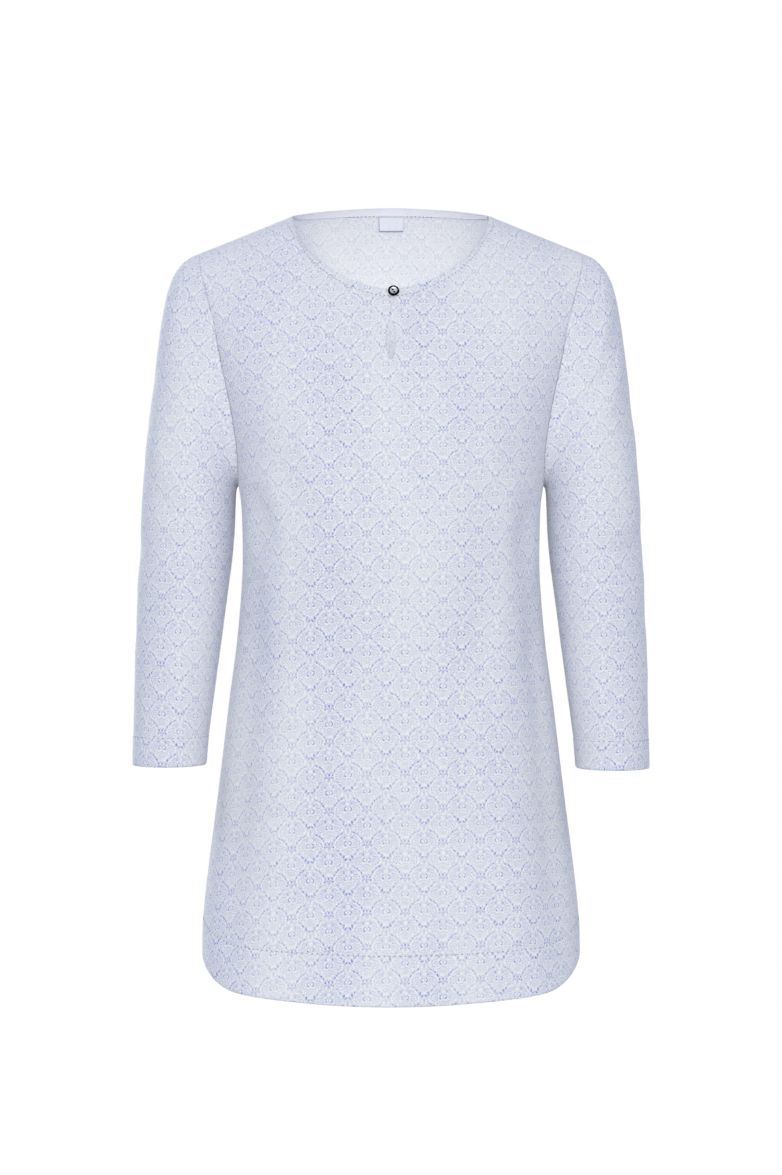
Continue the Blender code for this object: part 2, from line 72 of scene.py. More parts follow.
camera = add_object(
    "camera", bpy.data.cameras.new("camera"), (0.0, -CAMERA_AWAY, CAMERA_HEIGHT)
)
camera.rotation_euler = (math.pi / 2, 0.0, 0.0)
camera.data.sensor_fit = "VERTICAL"
camera.data.sensor_height = SENSOR_TALL
camera.data.lens = SENSOR_TALL * CAMERA_AWAY / VIEW_TALL
bpy.context.scene.camera = camera
print(f"lens {camera.data.lens:.1f} mm")

# %% [markdown]
# ## The cut of the garment
#
# The shells must lie on the solids, so they are worked out from the same sizes. Lengths are in
# millimetres, and a height is a drop below the neck points, where the shoulder seams meet the
# neck. Each table has a column for each size and a row for each height or ring.

# %% Sizes of the body
HEM_DROP = 746.0
UNDERARM_DROP = 262.0
SHOULDER_X = 185.5
SHOULDER_DROP = 37.0
NECK_X = 95.0
FRONT_NECK_DROP = 81.0
FRONT_NECK_REACH = 78.0
BACK_NECK_RISE = 18.2
BACK_NECK_REACH = 70.0
NECK_ROUND = 1.14
NECK_LEVEL = 0.8
BACK_NECK_LEVEL = 1.2
YOKE_SOFT = 0.14
BODY_ROUND = 2.6
HEM_SIDE_RISE = 22.0
HEM_CORNER_RISE = 14.0
HEM_CORNER_FROM = 0.6
HEM_CORNER_SPAN = 0.3
HEM_LIFT_FROM = 480.0
NECK_SHARE = 0.5  # the part of a panel's top edge that is neck edge

CHEST_DROP = (SHOULDER_DROP + UNDERARM_DROP) / 2
ARMHOLE_HALF = (UNDERARM_DROP - SHOULDER_DROP) / 2

BODY = {
    "drop": [40, 100, 150, 200, 262, 280, 303, 349, 372, 419, 466, 512, 578, 648, 708, 760],
    "width": [147, 147, 147, 147, 147, 144.5, 143.5, 143.5, 145, 149.5, 155.8, 161.2, 168.2,
              175.6, 181, 182],
    "front": [76, 90, 104, 116.5, 125, 126, 125.5, 121.5, 118.5, 114, 112.5, 112.5, 114.5, 118,
              121, 122],
    "back": [88, 98, 103, 104, 101, 99.5, 97, 93, 92, 94, 100, 108, 118, 125, 128, 129],
}
ARMHOLE = {
    "drop": [37, 60, 88, 110, 133, 156, 180, 208, 238, 262],
    "front": [185.5, 181.5, 174.0, 168.6, 164.2, 159.6, 154.4, 149.6, 146.6, 147],
    "back": [185.5, 183.5, 178.5, 174.0, 169.6, 164.6, 158.8, 153.0, 148.4, 147],
}
ARMHOLE_DEPTH = {"front": 53.0, "back": 59.0}
ARMHOLE_FULL = 0.86
SIGN = {"front": -1.0, "back": 1.0}
print(f"body {HEM_DROP:.0f} mm long, {2 * SHOULDER_X:.0f} mm from shoulder to shoulder")

# %% Sizes of the sleeves and the soft skirt folds
SLEEVE = {
    "outer_x": [185.5, 196.0, 205.0, 212.0, 217.5, 222.0, 226.0, 230.0, 234.0, 237.3, 240.2,
                241.8, 242.8, 244.7, 246.0, 246.4, 246.6, 246.9, 247.4, 247.8],
    "outer_drop": [37, 42, 50.5, 62, 79, 103, 132, 165, 200, 236, 272, 308, 344, 380, 410, 436,
                   460, 484, 509, 533],
    "inner_x": [147, 148.6, 149.6, 150.1, 150.3, 150.5, 150.6, 150.7, 150.9, 151.2, 152.2, 154.0,
                157.0, 160.5, 163.7, 166.7, 169.6, 172.7, 175.5, 177.3],
    "inner_drop": [262, 262.8, 264.2, 266, 268.6, 272, 276.5, 282.5, 291, 303, 319, 338, 362, 389,
                   415, 438, 461, 484.5, 509, 533],
    "depth": [54, 55, 55.5, 56, 56.5, 57, 57, 57, 56.5, 56, 55, 54, 52.5, 51, 49.5, 48, 47, 46,
              45, 44],
    "forward": [0, 0, 0, 0, 0.3, 0.8, 1.5, 2.5, 3.5, 5, 6.5, 8, 10, 12, 14, 16, 18, 20, 22, 24],
}
SLEEVE_RINGS = len(SLEEVE["depth"]) - 1
CAP_RINGS = 8
CUFF_SHORTER = 3.0

# Each fold: its place across the panel from -1 to 1, its width, the drop where it starts and
# how far it stands out at the hem.
SKIRT_FOLDS = {
    "front": [(-0.66, 0.17, 520, 3.4), (-0.36, 0.13, 600, -2.2), (-0.02, 0.15, 560, 1.8),
              (0.34, 0.14, 590, -2.4), (0.62, 0.16, 500, 3.8)],
    "back": [(-0.70, 0.16, 470, 3.6), (-0.40, 0.15, 430, -3.0), (-0.10, 0.16, 450, 3.4),
             (0.24, 0.15, 440, -3.2), (0.56, 0.16, 480, 4.0)],
}
print(f"sleeve of {SLEEVE_RINGS} rings, {sum(map(len, SKIRT_FOLDS.values()))} skirt folds")

# %% [markdown]
# ## The body's form
#
# A body is close to a rounded box in section: flatter in front and behind than an ellipse. So
# each level of the panel is a superellipse that ends at the side seam, or at the armhole above
# it. From chest level up, each column is one smooth curve to the neck or shoulder edge.

# %% Reading a table on a smooth curve
def read(table, column, at):
    x = np.asarray(table["drop"], float)
    y = np.asarray(table[column], float)
    at = np.clip(at, x[0], x[-1])
    slope = np.gradient(y, x)
    i = np.clip(np.searchsorted(x, at) - 1, 0, len(x) - 2)
    span = x[i + 1] - x[i]
    t = (at - x[i]) / span
    return (
        (1 + 2 * t) * (1 - t) ** 2 * y[i]
        + t * (1 - t) ** 2 * span * slope[i]
        + t * t * (3 - 2 * t) * y[i + 1]
        - t * t * (1 - t) * span * slope[i + 1]
    )


def ease(t):
    t = np.clip(t, 0.0, 1.0)
    return t * t * (3 - 2 * t)


def unit(v):
    return v / np.maximum(np.linalg.norm(v, axis=-1, keepdims=True), 1e-9)


print("half width at the waist:", round(float(read(BODY, "width", 349.0)), 1), "mm")


# %% The armhole, and one level section
def armhole(side, turn):
    """Points of the armhole edge; turn is 0 at the shoulder point and pi at the underarm."""
    drop = CHEST_DROP - ARMHOLE_HALF * np.cos(turn)
    deep = ARMHOLE_DEPTH[side] * np.maximum(np.sin(turn), 0.0) ** ARMHOLE_FULL
    return np.stack([read(ARMHOLE, side, drop), SIGN[side] * deep, -drop], axis=-1)


def section_edge(side, drop):
    if drop >= UNDERARM_DROP:
        return float(read(BODY, "width", drop)), 0.0
    edge = armhole(side, math.acos((CHEST_DROP - drop) / ARMHOLE_HALF))
    return float(edge[0]), abs(float(edge[1]))


def along_section(side, drop, shares):
    """(x, depth) of the points at these shares of a half section's length."""
    depth = float(read(BODY, side, drop))
    edge_x, edge_y = section_edge(side, drop)
    power = 2 / BODY_ROUND
    wide = edge_x / (1 - (edge_y / depth) ** BODY_ROUND) ** (1 / BODY_ROUND)
    last = math.atan2((edge_x / wide) ** (1 / power), (edge_y / depth) ** (1 / power))
    angle = np.linspace(0, last, 400)
    line = np.stack([wide * np.sin(angle) ** power, depth * np.cos(angle) ** power], axis=-1)
    length = np.concatenate([[0], np.cumsum(np.linalg.norm(np.diff(line, axis=0), axis=-1))])
    at = np.abs(shares) * length[-1]
    return np.interp(at, length, line[:, 0]), np.interp(at, length, line[:, 1])


print("underarm at x =", round(section_edge("front", UNDERARM_DROP)[0], 1), "mm")


# %% Levels of a panel below the chest
def hem_rise(shares, drop):
    """The hem curves up towards the side seams, and more quickly near them."""
    x = np.abs(shares)
    lift = HEM_SIDE_RISE * x**2 + HEM_CORNER_RISE * ease((x - HEM_CORNER_FROM) / HEM_CORNER_SPAN)
    return lift * ease((drop - HEM_LIFT_FROM) / (HEM_DROP - HEM_LIFT_FROM))


def skirt_folds(side, shares, drop):
    out = np.zeros_like(shares)
    for place, width, start, height in SKIRT_FOLDS[side]:
        grown = ease((drop - start) / (HEM_DROP - start))
        out += height * grown * np.exp(-(((shares - place) / width) ** 2))
    return out * (1 - np.abs(shares) ** 6)


def level_points(side, shares, drop):
    x, depth = along_section(side, drop, shares)
    out = skirt_folds(side, shares, drop)
    outwards = np.abs(shares) ** 3
    x = np.copysign(x + out * outwards, shares)
    depth = depth + out * (1 - outwards)
    return np.stack([x, SIGN[side] * depth, -drop + hem_rise(shares, drop)], axis=-1)


print("the hem rises", float(hem_rise(1.0, HEM_DROP)), "mm to the side seams")


# %% The top edge, and the columns that rise to it
def top_points(side, shares):
    """The neck edge in the middle, the shoulder seams beside it."""
    x = np.abs(shares)
    angle = np.minimum(x / NECK_SHARE, 1.0) * math.pi / 2
    across, inwards = np.sin(angle), np.maximum(np.cos(angle), 0.0)
    seam = np.maximum((x - NECK_SHARE) / (1 - NECK_SHARE), 0.0)
    if side == "front":
        neck_x = NECK_X * across**NECK_ROUND
        deep = FRONT_NECK_REACH * inwards**NECK_LEVEL
        high = -FRONT_NECK_DROP * inwards**NECK_ROUND
    else:
        neck_x = NECK_X * across
        deep = BACK_NECK_REACH * inwards
        high = BACK_NECK_RISE * inwards**BACK_NECK_LEVEL
    wide = neck_x + (SHOULDER_X - NECK_X) * seam
    return np.stack([np.copysign(wide, shares), SIGN[side] * deep, high - SHOULDER_DROP * seam], -1)


TOP_LEAN = {"front": 0.42, "back": 0.30}  # how far the cloth leans in at the centre's top
TOP_UP_CENTRE, TOP_UP_SHOULDER = 0.92, 0.10  # and how far it points up there and at the seam
OVER_FROM, OVER_SPAN = 0.35, 0.4  # from this share, and over this one, columns run over the top
LEAVE_CHEST, ARRIVE_TOP = 1.0, 0.75  # how straight a column runs on at its two ends
LEAVE_OVER, ARRIVE_OVER = 0.15, 0.10  # and how much straighter one that runs over the top does
CHEST_STEP = 4.0  # mm below chest level, which gives the direction that a column comes from


def top_directions(side, shares):
    turn = np.minimum(np.abs(shares) / NECK_SHARE, 1.0) * math.pi / 2
    inwards = np.sin(turn) + TOP_LEAN[side] * np.cos(turn)
    upwards = TOP_UP_CENTRE * np.cos(turn) + TOP_UP_SHOULDER * np.sin(turn)
    return unit(np.stack([np.zeros_like(turn), -SIGN[side] * inwards, upwards], axis=-1))


def yoke_points(side, shares, up):
    """Points between chest level (up = 0) and the top edge (up = 1)."""
    start = level_points(side, shares, CHEST_DROP)
    rising = unit(start - level_points(side, shares, CHEST_DROP + CHEST_STEP))
    end = top_points(side, shares)
    gap = np.linalg.norm(end - start, axis=-1, keepdims=True)
    over = ease((np.abs(shares) - OVER_FROM) / OVER_SPAN)[:, None]
    leave = rising * gap * (LEAVE_CHEST + LEAVE_OVER * over)
    arrive = top_directions(side, shares) * gap * (ARRIVE_TOP + ARRIVE_OVER * over)
    return (
        (1 + 2 * up) * (1 - up) ** 2 * start
        + up * (1 - up) ** 2 * leave
        + up * up * (3 - 2 * up) * end
        - up * up * (1 - up) * arrive
    )


def soft_yoke_points(side, shares, up):
    """The same, averaged across a short stretch so that no crease runs from the neck point."""
    reach = np.minimum(YOKE_SOFT * math.sin(math.pi * up), 1 - np.abs(shares)) / 2
    weights = {-2: 1, -1: 2, 0: 3, 1: 2, 2: 1}
    total = sum(w * yoke_points(side, shares + k * reach, up) for k, w in weights.items())
    return total / sum(weights.values())


print("back neck stands", BACK_NECK_RISE, "mm above the neck points")


# %% A whole panel as a grid of points
HALF_COLUMNS = 80
HEM_ROWS, SKIRT_ROWS, ARM_ROWS, YOKE_ROWS = 30, 106, 44, 60
HEM_ZONE = 0.12  # the share of the skirt's height, above the hem, that has finer rows


def closer_at_ends(t, how_much):
    """0 to 1 again, with smaller steps at both ends, where the seams and edges are."""
    return t - how_much * np.sin(2 * math.pi * t) / (2 * math.pi)


# The centre column is there twice, because the front is slit along it.
half_columns = closer_at_ends(np.linspace(0, 1, HALF_COLUMNS + 1), 0.6)
columns = np.concatenate([-half_columns[::-1], half_columns])
hem_rises = np.linspace(0, HEM_ZONE, HEM_ROWS, endpoint=False)
skirt_rises = np.linspace(HEM_ZONE, 1, SKIRT_ROWS, endpoint=False)
arm_rises = np.linspace(1, 2, ARM_ROWS, endpoint=False)
yoke_rises = 3 - (1 - np.linspace(0, 1, YOKE_ROWS + 1)) ** 1.35  # finer at the neck edge
rises = np.concatenate([hem_rises, skirt_rises, arm_rises, yoke_rises])
underarm_row = HEM_ROWS + SKIRT_ROWS
chest_row = underarm_row + ARM_ROWS


def panel_row(side, rise):
    """rise is 0 at the hem, 1 at the underarm, 2 at chest level and 3 at the top edge."""
    if rise <= 1:
        return level_points(side, columns, HEM_DROP + (UNDERARM_DROP - HEM_DROP) * rise)
    if rise <= 2:
        turn = math.pi * (1 - (rise - 1) / 2)
        return level_points(side, columns, CHEST_DROP - ARMHOLE_HALF * math.cos(turn))
    points = soft_yoke_points(side, columns, rise - 2)
    edge = armhole(side, math.pi / 2 * (3 - rise))
    edges = np.where(columns[:, None] < 0, edge * np.array([-1, 1, 1]), edge)
    ends = np.where(columns[:, None] < 0, points[0], points[-1])
    return points + np.abs(columns[:, None]) ** 8 * (edges - ends)


panels = {side: np.stack([panel_row(side, rise) for rise in rises]) for side in SIGN}
print("panel grid:", panels["front"].shape[:2], "points")

# %% [markdown]
# ## The sleeves' form
#
# A set-in sleeve is one piece, sewn to a tube under the arm. Its head has the armhole's shape
# and turns into its own oval over the first rings. The strip starts and ends at that seam.

# %% A whole sleeve as a grid of points
SLEEVE_ROWS = 150
SLEEVE_HALF_ROUND = 56
swing = np.linspace(-math.pi, math.pi, 2 * SLEEVE_HALF_ROUND + 1)  # 0 over the arm, front first
sleeve_places = closer_at_ends(np.linspace(0, 1, SLEEVE_ROWS + 1), 0.5)  # 0 at the armhole


def sleeve_value(column, at):
    rings = {"drop": list(range(SLEEVE_RINGS + 1)), column: SLEEVE[column]}
    return float(read(rings, column, at * SLEEVE_RINGS))


def sleeve_oval(at):
    outer = np.array([sleeve_value("outer_x", at), 0.0, -sleeve_value("outer_drop", at)])
    inner = np.array([sleeve_value("inner_x", at), 0.0, -sleeve_value("inner_drop", at)])
    points = (outer + inner) / 2 + (outer - inner) / 2 * np.cos(swing)[:, None]
    points[:, 1] = np.sin(swing) * sleeve_value("depth", at) - sleeve_value("forward", at)
    return points


def sleeve_form():
    """The wearer's left sleeve, from the armhole to the cuff."""
    rim = np.where(swing[:, None] < 0, armhole("front", -swing), armhole("back", swing))
    head = rim - sleeve_oval(0.0)
    return np.stack([
        sleeve_oval(at) + (1 - ease(at * SLEEVE_RINGS / CAP_RINGS)) * head
        for at in sleeve_places
    ])


def mirrored(points, lift):
    """The other side's sleeve, whose cuff hangs a little higher."""
    raised = np.zeros_like(points)
    raised[..., 2] = lift * sleeve_places[:, None] ** 2
    return points * np.array([-1, 1, 1]) + raised


left_sleeve = sleeve_form()
sleeves = {"left": left_sleeve, "right": mirrored(left_sleeve, CUFF_SHORTER)}
print("sleeve grid:", left_sleeve.shape[:2], "points")

# %% [markdown]
# ## Cloth coordinates
#
# A print lies on the flat cloth before it is cut, so it is drawn in the cloth's own lengths:
# how far a point is across and along the cloth. On a panel these are measured from the centre
# line and from the neck points' level, and on a sleeve from its top line and from the cuff.


# %% Measuring along rows and columns
def run_lengths(grid, axis, start, keep=(1, 1, 1)):
    """Lengths along one axis of a grid of points, 0 at index start; keep picks directions."""
    steps = np.linalg.norm(np.diff(grid, axis=axis) * np.array(keep), axis=-1)
    zero = np.zeros_like(np.take(steps, [0], axis=axis))
    lengths = np.concatenate([zero, np.cumsum(steps, axis=axis)], axis=axis)
    return lengths - np.take(lengths, [start], axis=axis)


def outwards_of(grid, sign):
    """Unit directions that point out of the garment."""
    return sign * unit(np.cross(np.gradient(grid, axis=1), np.gradient(grid, axis=0)))


panel_across, panel_drop = {}, {}
for side, grid in panels.items():
    panel_across[side] = run_lengths(grid, 1, HALF_COLUMNS, (1, 1, 0))
    drop = CHEST_DROP - run_lengths(grid, 0, chest_row, (0, 1, 1))
    # Up to chest level the cloth hangs straight, so a level line is a line of the print.
    level = slice(0, chest_row + 1)
    centre_high, centre_drop = grid[level, HALF_COLUMNS, 2], drop[level, HALF_COLUMNS]
    drop[level] = np.interp(grid[level, :, 2], centre_high, centre_drop)
    panel_drop[side] = drop
    print(side, "cut:", round(float(np.ptp(panel_across[side], axis=1).max())), "x",
          round(float(np.ptp(panel_drop[side], axis=0).max())), "mm")

sleeve_across = run_lengths(left_sleeve, 1, SLEEVE_HALF_ROUND)
sleeve_along = run_lengths(left_sleeve, 0, SLEEVE_ROWS)
print("sleeve cut:", round(float(np.abs(sleeve_along).max())), "mm long,",
      round(float(np.ptp(sleeve_across[-1]))), "mm at the cuff")

# %% The print's lengths on a sleeve
# A sleeve's section keeps nearly the same shape all the way down: this much deeper than wide.
SLEEVE_DEEPER = 1.26
SLEEVE_LEAN = 0.07  # its threads run this much outwards for each step down
FULL_SLEEVE_DROP = 300.0  # below this the section is a whole oval


def sleeve_cloth(grid):
    """How far each point is round the sleeve from its top line, and along it from the cuff."""
    outer, inner = grid[:, SLEEVE_HALF_ROUND], grid[:, 0]
    whole = -outer[:, 2] > FULL_SLEEVE_DROP
    drop = -grid[..., 2]
    half = np.interp(drop, -outer[whole, 2], np.abs(outer - inner)[whole, 0] / 2)
    side = np.sign(outer[-1, 0])
    outer_x = np.interp(drop, -outer[:, 2], side * outer[:, 0])
    forward = np.interp(drop, -outer[:, 2], outer[:, 1])
    inwards = outer_x - side * grid[..., 0]
    off = grid[..., 1] - forward
    turn = np.arctan2(np.abs(off) / SLEEVE_DEEPER, half - inwards)
    turns = np.linspace(0, math.pi, 200)
    steps = np.hypot(np.sin(turns), SLEEVE_DEEPER * np.cos(turns)) * (turns[1] - turns[0])
    across = half * np.interp(turn, turns, np.cumsum(steps) - steps[0]) * np.sign(off)
    line = np.linalg.norm(np.diff(outer, axis=0), axis=1)
    above_cuff = np.concatenate([np.cumsum(line[::-1])[::-1], [0.0]])
    along = np.interp(drop, -outer[:, 2], above_cuff) + SLEEVE_LEAN * inwards
    return across, along


top_of_print = sleeve_cloth(left_sleeve)[1].max()
print("print at the sleeve's top line:", round(float(top_of_print)), "mm up")

# %% [markdown]
# ## Creases
#
# Light viscose hangs in soft, shallow creases. Each one is a trough or a ridge along a short
# line, widest in its middle and fading out at its ends. They are listed in the garment's own
# sizes: across from the centre, and drop from the neck points.


# %% Drawing creases into a grid
BOW, BOW_MOST = 0.06, 5.0  # a crease bows by this share of its length, and this many mm at most
BEYOND, FADE = 0.1, 0.45  # it starts this share beyond its ends, and is full after this one


def crease_heights(across, drop, creases):
    """How far the creases move each point outwards, in mm."""
    out = np.zeros_like(across)
    for x0, y0, x1, y1, width, height in creases:
        run = np.array([x1 - x0, y1 - y0], float)
        length = float(np.hypot(*run))
        run /= length
        t = ((across - x0) * run[0] + (drop - y0) * run[1]) / length
        off = (across - x0) * run[1] - (drop - y0) * run[0]
        bow = min(BOW * length, BOW_MOST) * np.sin(np.clip(t, 0, 1) * math.pi)
        fade = ease((t + BEYOND) / FADE) * ease((1 + BEYOND - t) / FADE)
        out += height * fade * np.exp(-(((off - bow) / width) ** 2))
    return out


# Each crease: from (across, drop) to (across, drop), its width and its height, all in mm.
BODY_CREASES = {
    "front": [
        (-138, 205, -168, 800, 22, -5.5),
        (-94, 300, -118, 780, 17, 1.8),
        (136, 215, 168, 800, 22, -5.5),
        (92, 310, 116, 760, 17, 1.8),
        (-62, 205, -20, 330, 16, -2.2),
        (70, 210, 88, 330, 18, -2.5),
        (-96, 190, -52, 300, 15, 2),
        (40, 150, 62, 260, 20, 1.8),
        (-56, 320, -48, 470, 17, -2.2),
        (86, 300, 78, 480, 17, -2.4),
        (-30, 330, -26, 520, 15, 1.4),
        (-120, 232, -92, 300, 12, -2.1),
        (118, 214, 98, 290, 12, -2),
        (-172, 262, -110, 330, 13, -2.4),
        (-186, 300, -120, 372, 13, 1.8),
        (176, 258, 116, 336, 13, -2.2),
        (188, 300, 128, 380, 13, 1.7),
        (17, 98, 32, 158, 7, -2.2),
        (8, 92, 14, 128, 5, 1.8),
        (-16, 100, -22, 140, 8, -1),
        (-186, 392, -110, 436, 14, -1.7),
        (186, 396, 118, 446, 14, -1.5),
        (-150, 505, -20, 512, 10, -1.7),
        (10, 498, 120, 508, 11, 1.5),
        (-165, 575, -60, 590, 10, -2.1),
        (-50, 560, 90, 566, 12, 1.7),
        (40, 600, 160, 590, 11, -1.8),
        (-150, 625, -10, 632, 12, 1.8),
        (-100, 655, 30, 664, 9, -1.4),
        (60, 640, 165, 650, 12, 1.7),
        (-165, 690, -90, 668, 8, 1.5),
        (30, 676, 120, 682, 9, -1.2),
        (-30, 700, -120, 712, 9, -1.5),
        (105, 712, 150, 688, 9, -2),
        (60, 716, 130, 706, 8, 1.2),
    ],
    "back": [
        (-76, 110, -52, 262, 20, -2.4),
        (70, 100, 56, 256, 18, -2.1),
        (-12, 50, 2, 190, 24, 1.8),
        (-146, 96, -132, 236, 11, 2.2),
        (147, 104, 130, 240, 10, 2.0),
        (-186, 256, -92, 336, 12, -3.2),
        (-190, 296, -104, 372, 12, 2.4),
        (186, 250, 88, 344, 12, -3.0),
        (192, 292, 110, 366, 12, 2.2),
        (-106, 322, 74, 334, 13, 2.8),
        (-84, 350, 104, 344, 12, -2.6),
        (-112, 376, 46, 388, 12, 2.2),
        (-20, 408, 116, 396, 12, -1.8),
        (-62, 400, -78, 730, 18, -3.4),
        (-34, 430, -42, 720, 16, 2.2),
        (40, 390, 58, 736, 17, -3.2),
        (74, 440, 92, 730, 16, 2.4),
        (124, 430, 146, 730, 17, -2.8),
        (-128, 440, -148, 736, 17, -3.0),
        (-130, 600, 10, 612, 12, -1.0),
        (20, 655, 140, 646, 12, 1.0),
        (-60, 690, 70, 700, 10, -0.9),
    ],
}
print({side: len(rows) for side, rows in BODY_CREASES.items()}, "creases in the body")

# %% Creases of the sleeves
# Across is the arc from the sleeve's top line, minus to the front; drop is as on the body.
SLEEVE_CREASES = {
    "left": [
        (-92, 120, -40, 60, 11, -1.8),
        (-100, 160, -50, 108, 10, 1.5),
        (-118, 190, -66, 150, 10, -1.8),
        (-30, 130, -84, 200, 12, 1.8),
        (-20, 90, -60, 140, 12, -1.5),
        (-110, 250, -40, 300, 12, -1.9),
        (-120, 290, -50, 322, 11, 1.8),
        (-90, 340, -20, 318, 12, -1.8),
        (-110, 380, -30, 398, 12, 1.4),
        (-84, 430, -20, 440, 10, -1.2),
        (-44, 178, 36, 214, 12, -1.8),
        (-36, 216, 44, 246, 13, 1.4),
        (-56, 330, 44, 296, 12, -2.4),
        (-44, 362, 56, 344, 12, 2.2),
        (-40, 392, 50, 400, 12, -1.8),
        (-34, 452, 48, 438, 11, 1.3),
        (60, 150, 120, 230, 13, -2.4),
        (50, 196, 112, 262, 12, 1.9),
        (40, 290, 122, 330, 12, 2.4),
        (50, 360, 120, 338, 12, -2.4),
        (36, 400, 112, 424, 12, 1.8),
        (44, 452, 110, 446, 11, -1.3),
    ],
    "right": [
        (-96, 130, -52, 80, 12, -1.6),
        (-110, 240, -60, 262, 10, 1.5),
        (-96, 300, -30, 270, 12, -1.8),
        (-104, 330, -40, 352, 12, 1.5),
        (-40, 180, -62, 262, 14, 1.6),
        (-100, 388, -30, 404, 11, -1.4),
        (-90, 440, -30, 430, 10, 1.2),
        (-40, 150, 30, 190, 12, -1.7),
        (-50, 238, 36, 226, 13, 1.4),
        (-46, 318, 52, 340, 12, -2.3),
        (-50, 350, 40, 372, 12, 2.1),
        (-30, 412, 56, 398, 12, -1.7),
        (60, 140, 124, 216, 13, -2.3),
        (46, 186, 110, 250, 12, 1.8),
        (44, 276, 116, 318, 12, 2.3),
        (50, 356, 122, 336, 12, -2.2),
        (40, 396, 110, 416, 12, 1.7),
    ],
}
print({side: len(rows) for side, rows in SLEEVE_CREASES.items()}, "sleeve creases")

# %% [markdown]
# ## Turned edges and seams
#
# The neck edge, hem and cuffs are folded in and stitched, so the cloth is double there: it
# stands slightly proud, rolls over its edge and is pulled in along the stitches. A seam is
# pulled in along its whole length. These are reliefs of a millimetre or so at most.

# %% Relief along edges
HEM_DEEP = 47.0  # from the hem to its stitches, at the centre
HEM_DEEP_SIDE = 33.0  # and at the side seams
CUFF_DEEP = 27.5
NECK_DEEP = 7.4
SEAM_PULL = 0.35
NECK_FLARE = 1.2  # how far the turned neck edge stands out at centre front
NECK_FLARE_DEEP = 9.0
# How far each spreads: the step from double to single cloth, stitches, a rolled edge, a seam.
STEP_WIDE, STITCH_WIDE, ROLL_WIDE, SEAM_WIDE = 3.0, 1.6, 1.2, 1.8
# How far the double cloth stands out, its stitches pull in, and its edge rolls back.
RELIEF = {"neck": (0.1, 0.2, 0.1), "hem": (0.4, 0.7, 0.7), "cuff": (0.2, 0.35, 0.7)}


def turned_edge(kind, distance, deep):
    """Outward relief of a turned edge, from the distance to the edge."""
    double, pull, roll = RELIEF[kind]
    band = double * (1 - ease((distance - deep + STEP_WIDE / 2) / STEP_WIDE))
    pulled = pull * np.exp(-(((distance - deep) / STITCH_WIDE) ** 2))
    rolled = roll * np.exp(-((distance / ROLL_WIDE) ** 2))
    return band - pulled - rolled


def sewn_edge(distance):
    """Outward relief of a seam."""
    return -SEAM_PULL * np.exp(-((distance / SEAM_WIDE) ** 2))


def nearest(grid, line):
    """The distance from each point of a grid to a line of points."""
    best = np.full(grid.shape[:2], np.inf)
    for point in line:
        best = np.minimum(best, np.linalg.norm(grid - point, axis=-1))
    return best


hem_deep = HEM_DEEP - (HEM_DEEP - HEM_DEEP_SIDE) * np.abs(columns) ** 2.5
print("hem", HEM_DEEP, "mm deep at the centre and", HEM_DEEP_SIDE, "at the sides")

# %% Putting relief and creases on the panels
SLIT_WIDE = 8.6
SLIT_OPENS_DROP = 108.0
SLIT_SPREAD = 18.0  # how far to each side the slit's opening pushes the cloth
SLIT_CLOSED = 0.03  # half the gap where its edges lie side by side
SLIT_LOW, SLIT_FULL = 1.15, 0.8  # it is widest just below its middle, and rather full
SLIT_RIDGE = (0.5, 2.2, 1.6)  # beside the gap: a ridge's height, its place and its width
SLIT_ROLL = (0.2, 0.9)  # how far the edge itself rolls back, and over what width
# Creases grow from nothing over these distances from the edges that hold the cloth, in mm.
CALM = {"armhole": 30, "side": 24, "neck": 20, "shoulder": 16, "hem": 40, "head": 22, "seam": 14,
        "cuff": 40}
CALM_HEM, CALM_CUFF = 0.35, 0.3  # but this share of them is left at the hem and at the cuffs
FAR = 99.0  # mm, for what isn't near an edge at all
SEAM_APART = 0.04  # the two panels stand this far off their side seams, so that they never touch


def slit_half(drop):
    """Half the gap between the slit's edges."""
    opening = np.clip((drop - SLIT_OPENS_DROP) / (CHEST_DROP - SLIT_OPENS_DROP), 0.0, 1.0)
    width = np.maximum(np.sin(math.pi * opening**SLIT_LOW), 0.0) ** SLIT_FULL
    return np.maximum(SLIT_CLOSED, SLIT_WIDE / 2 * width)


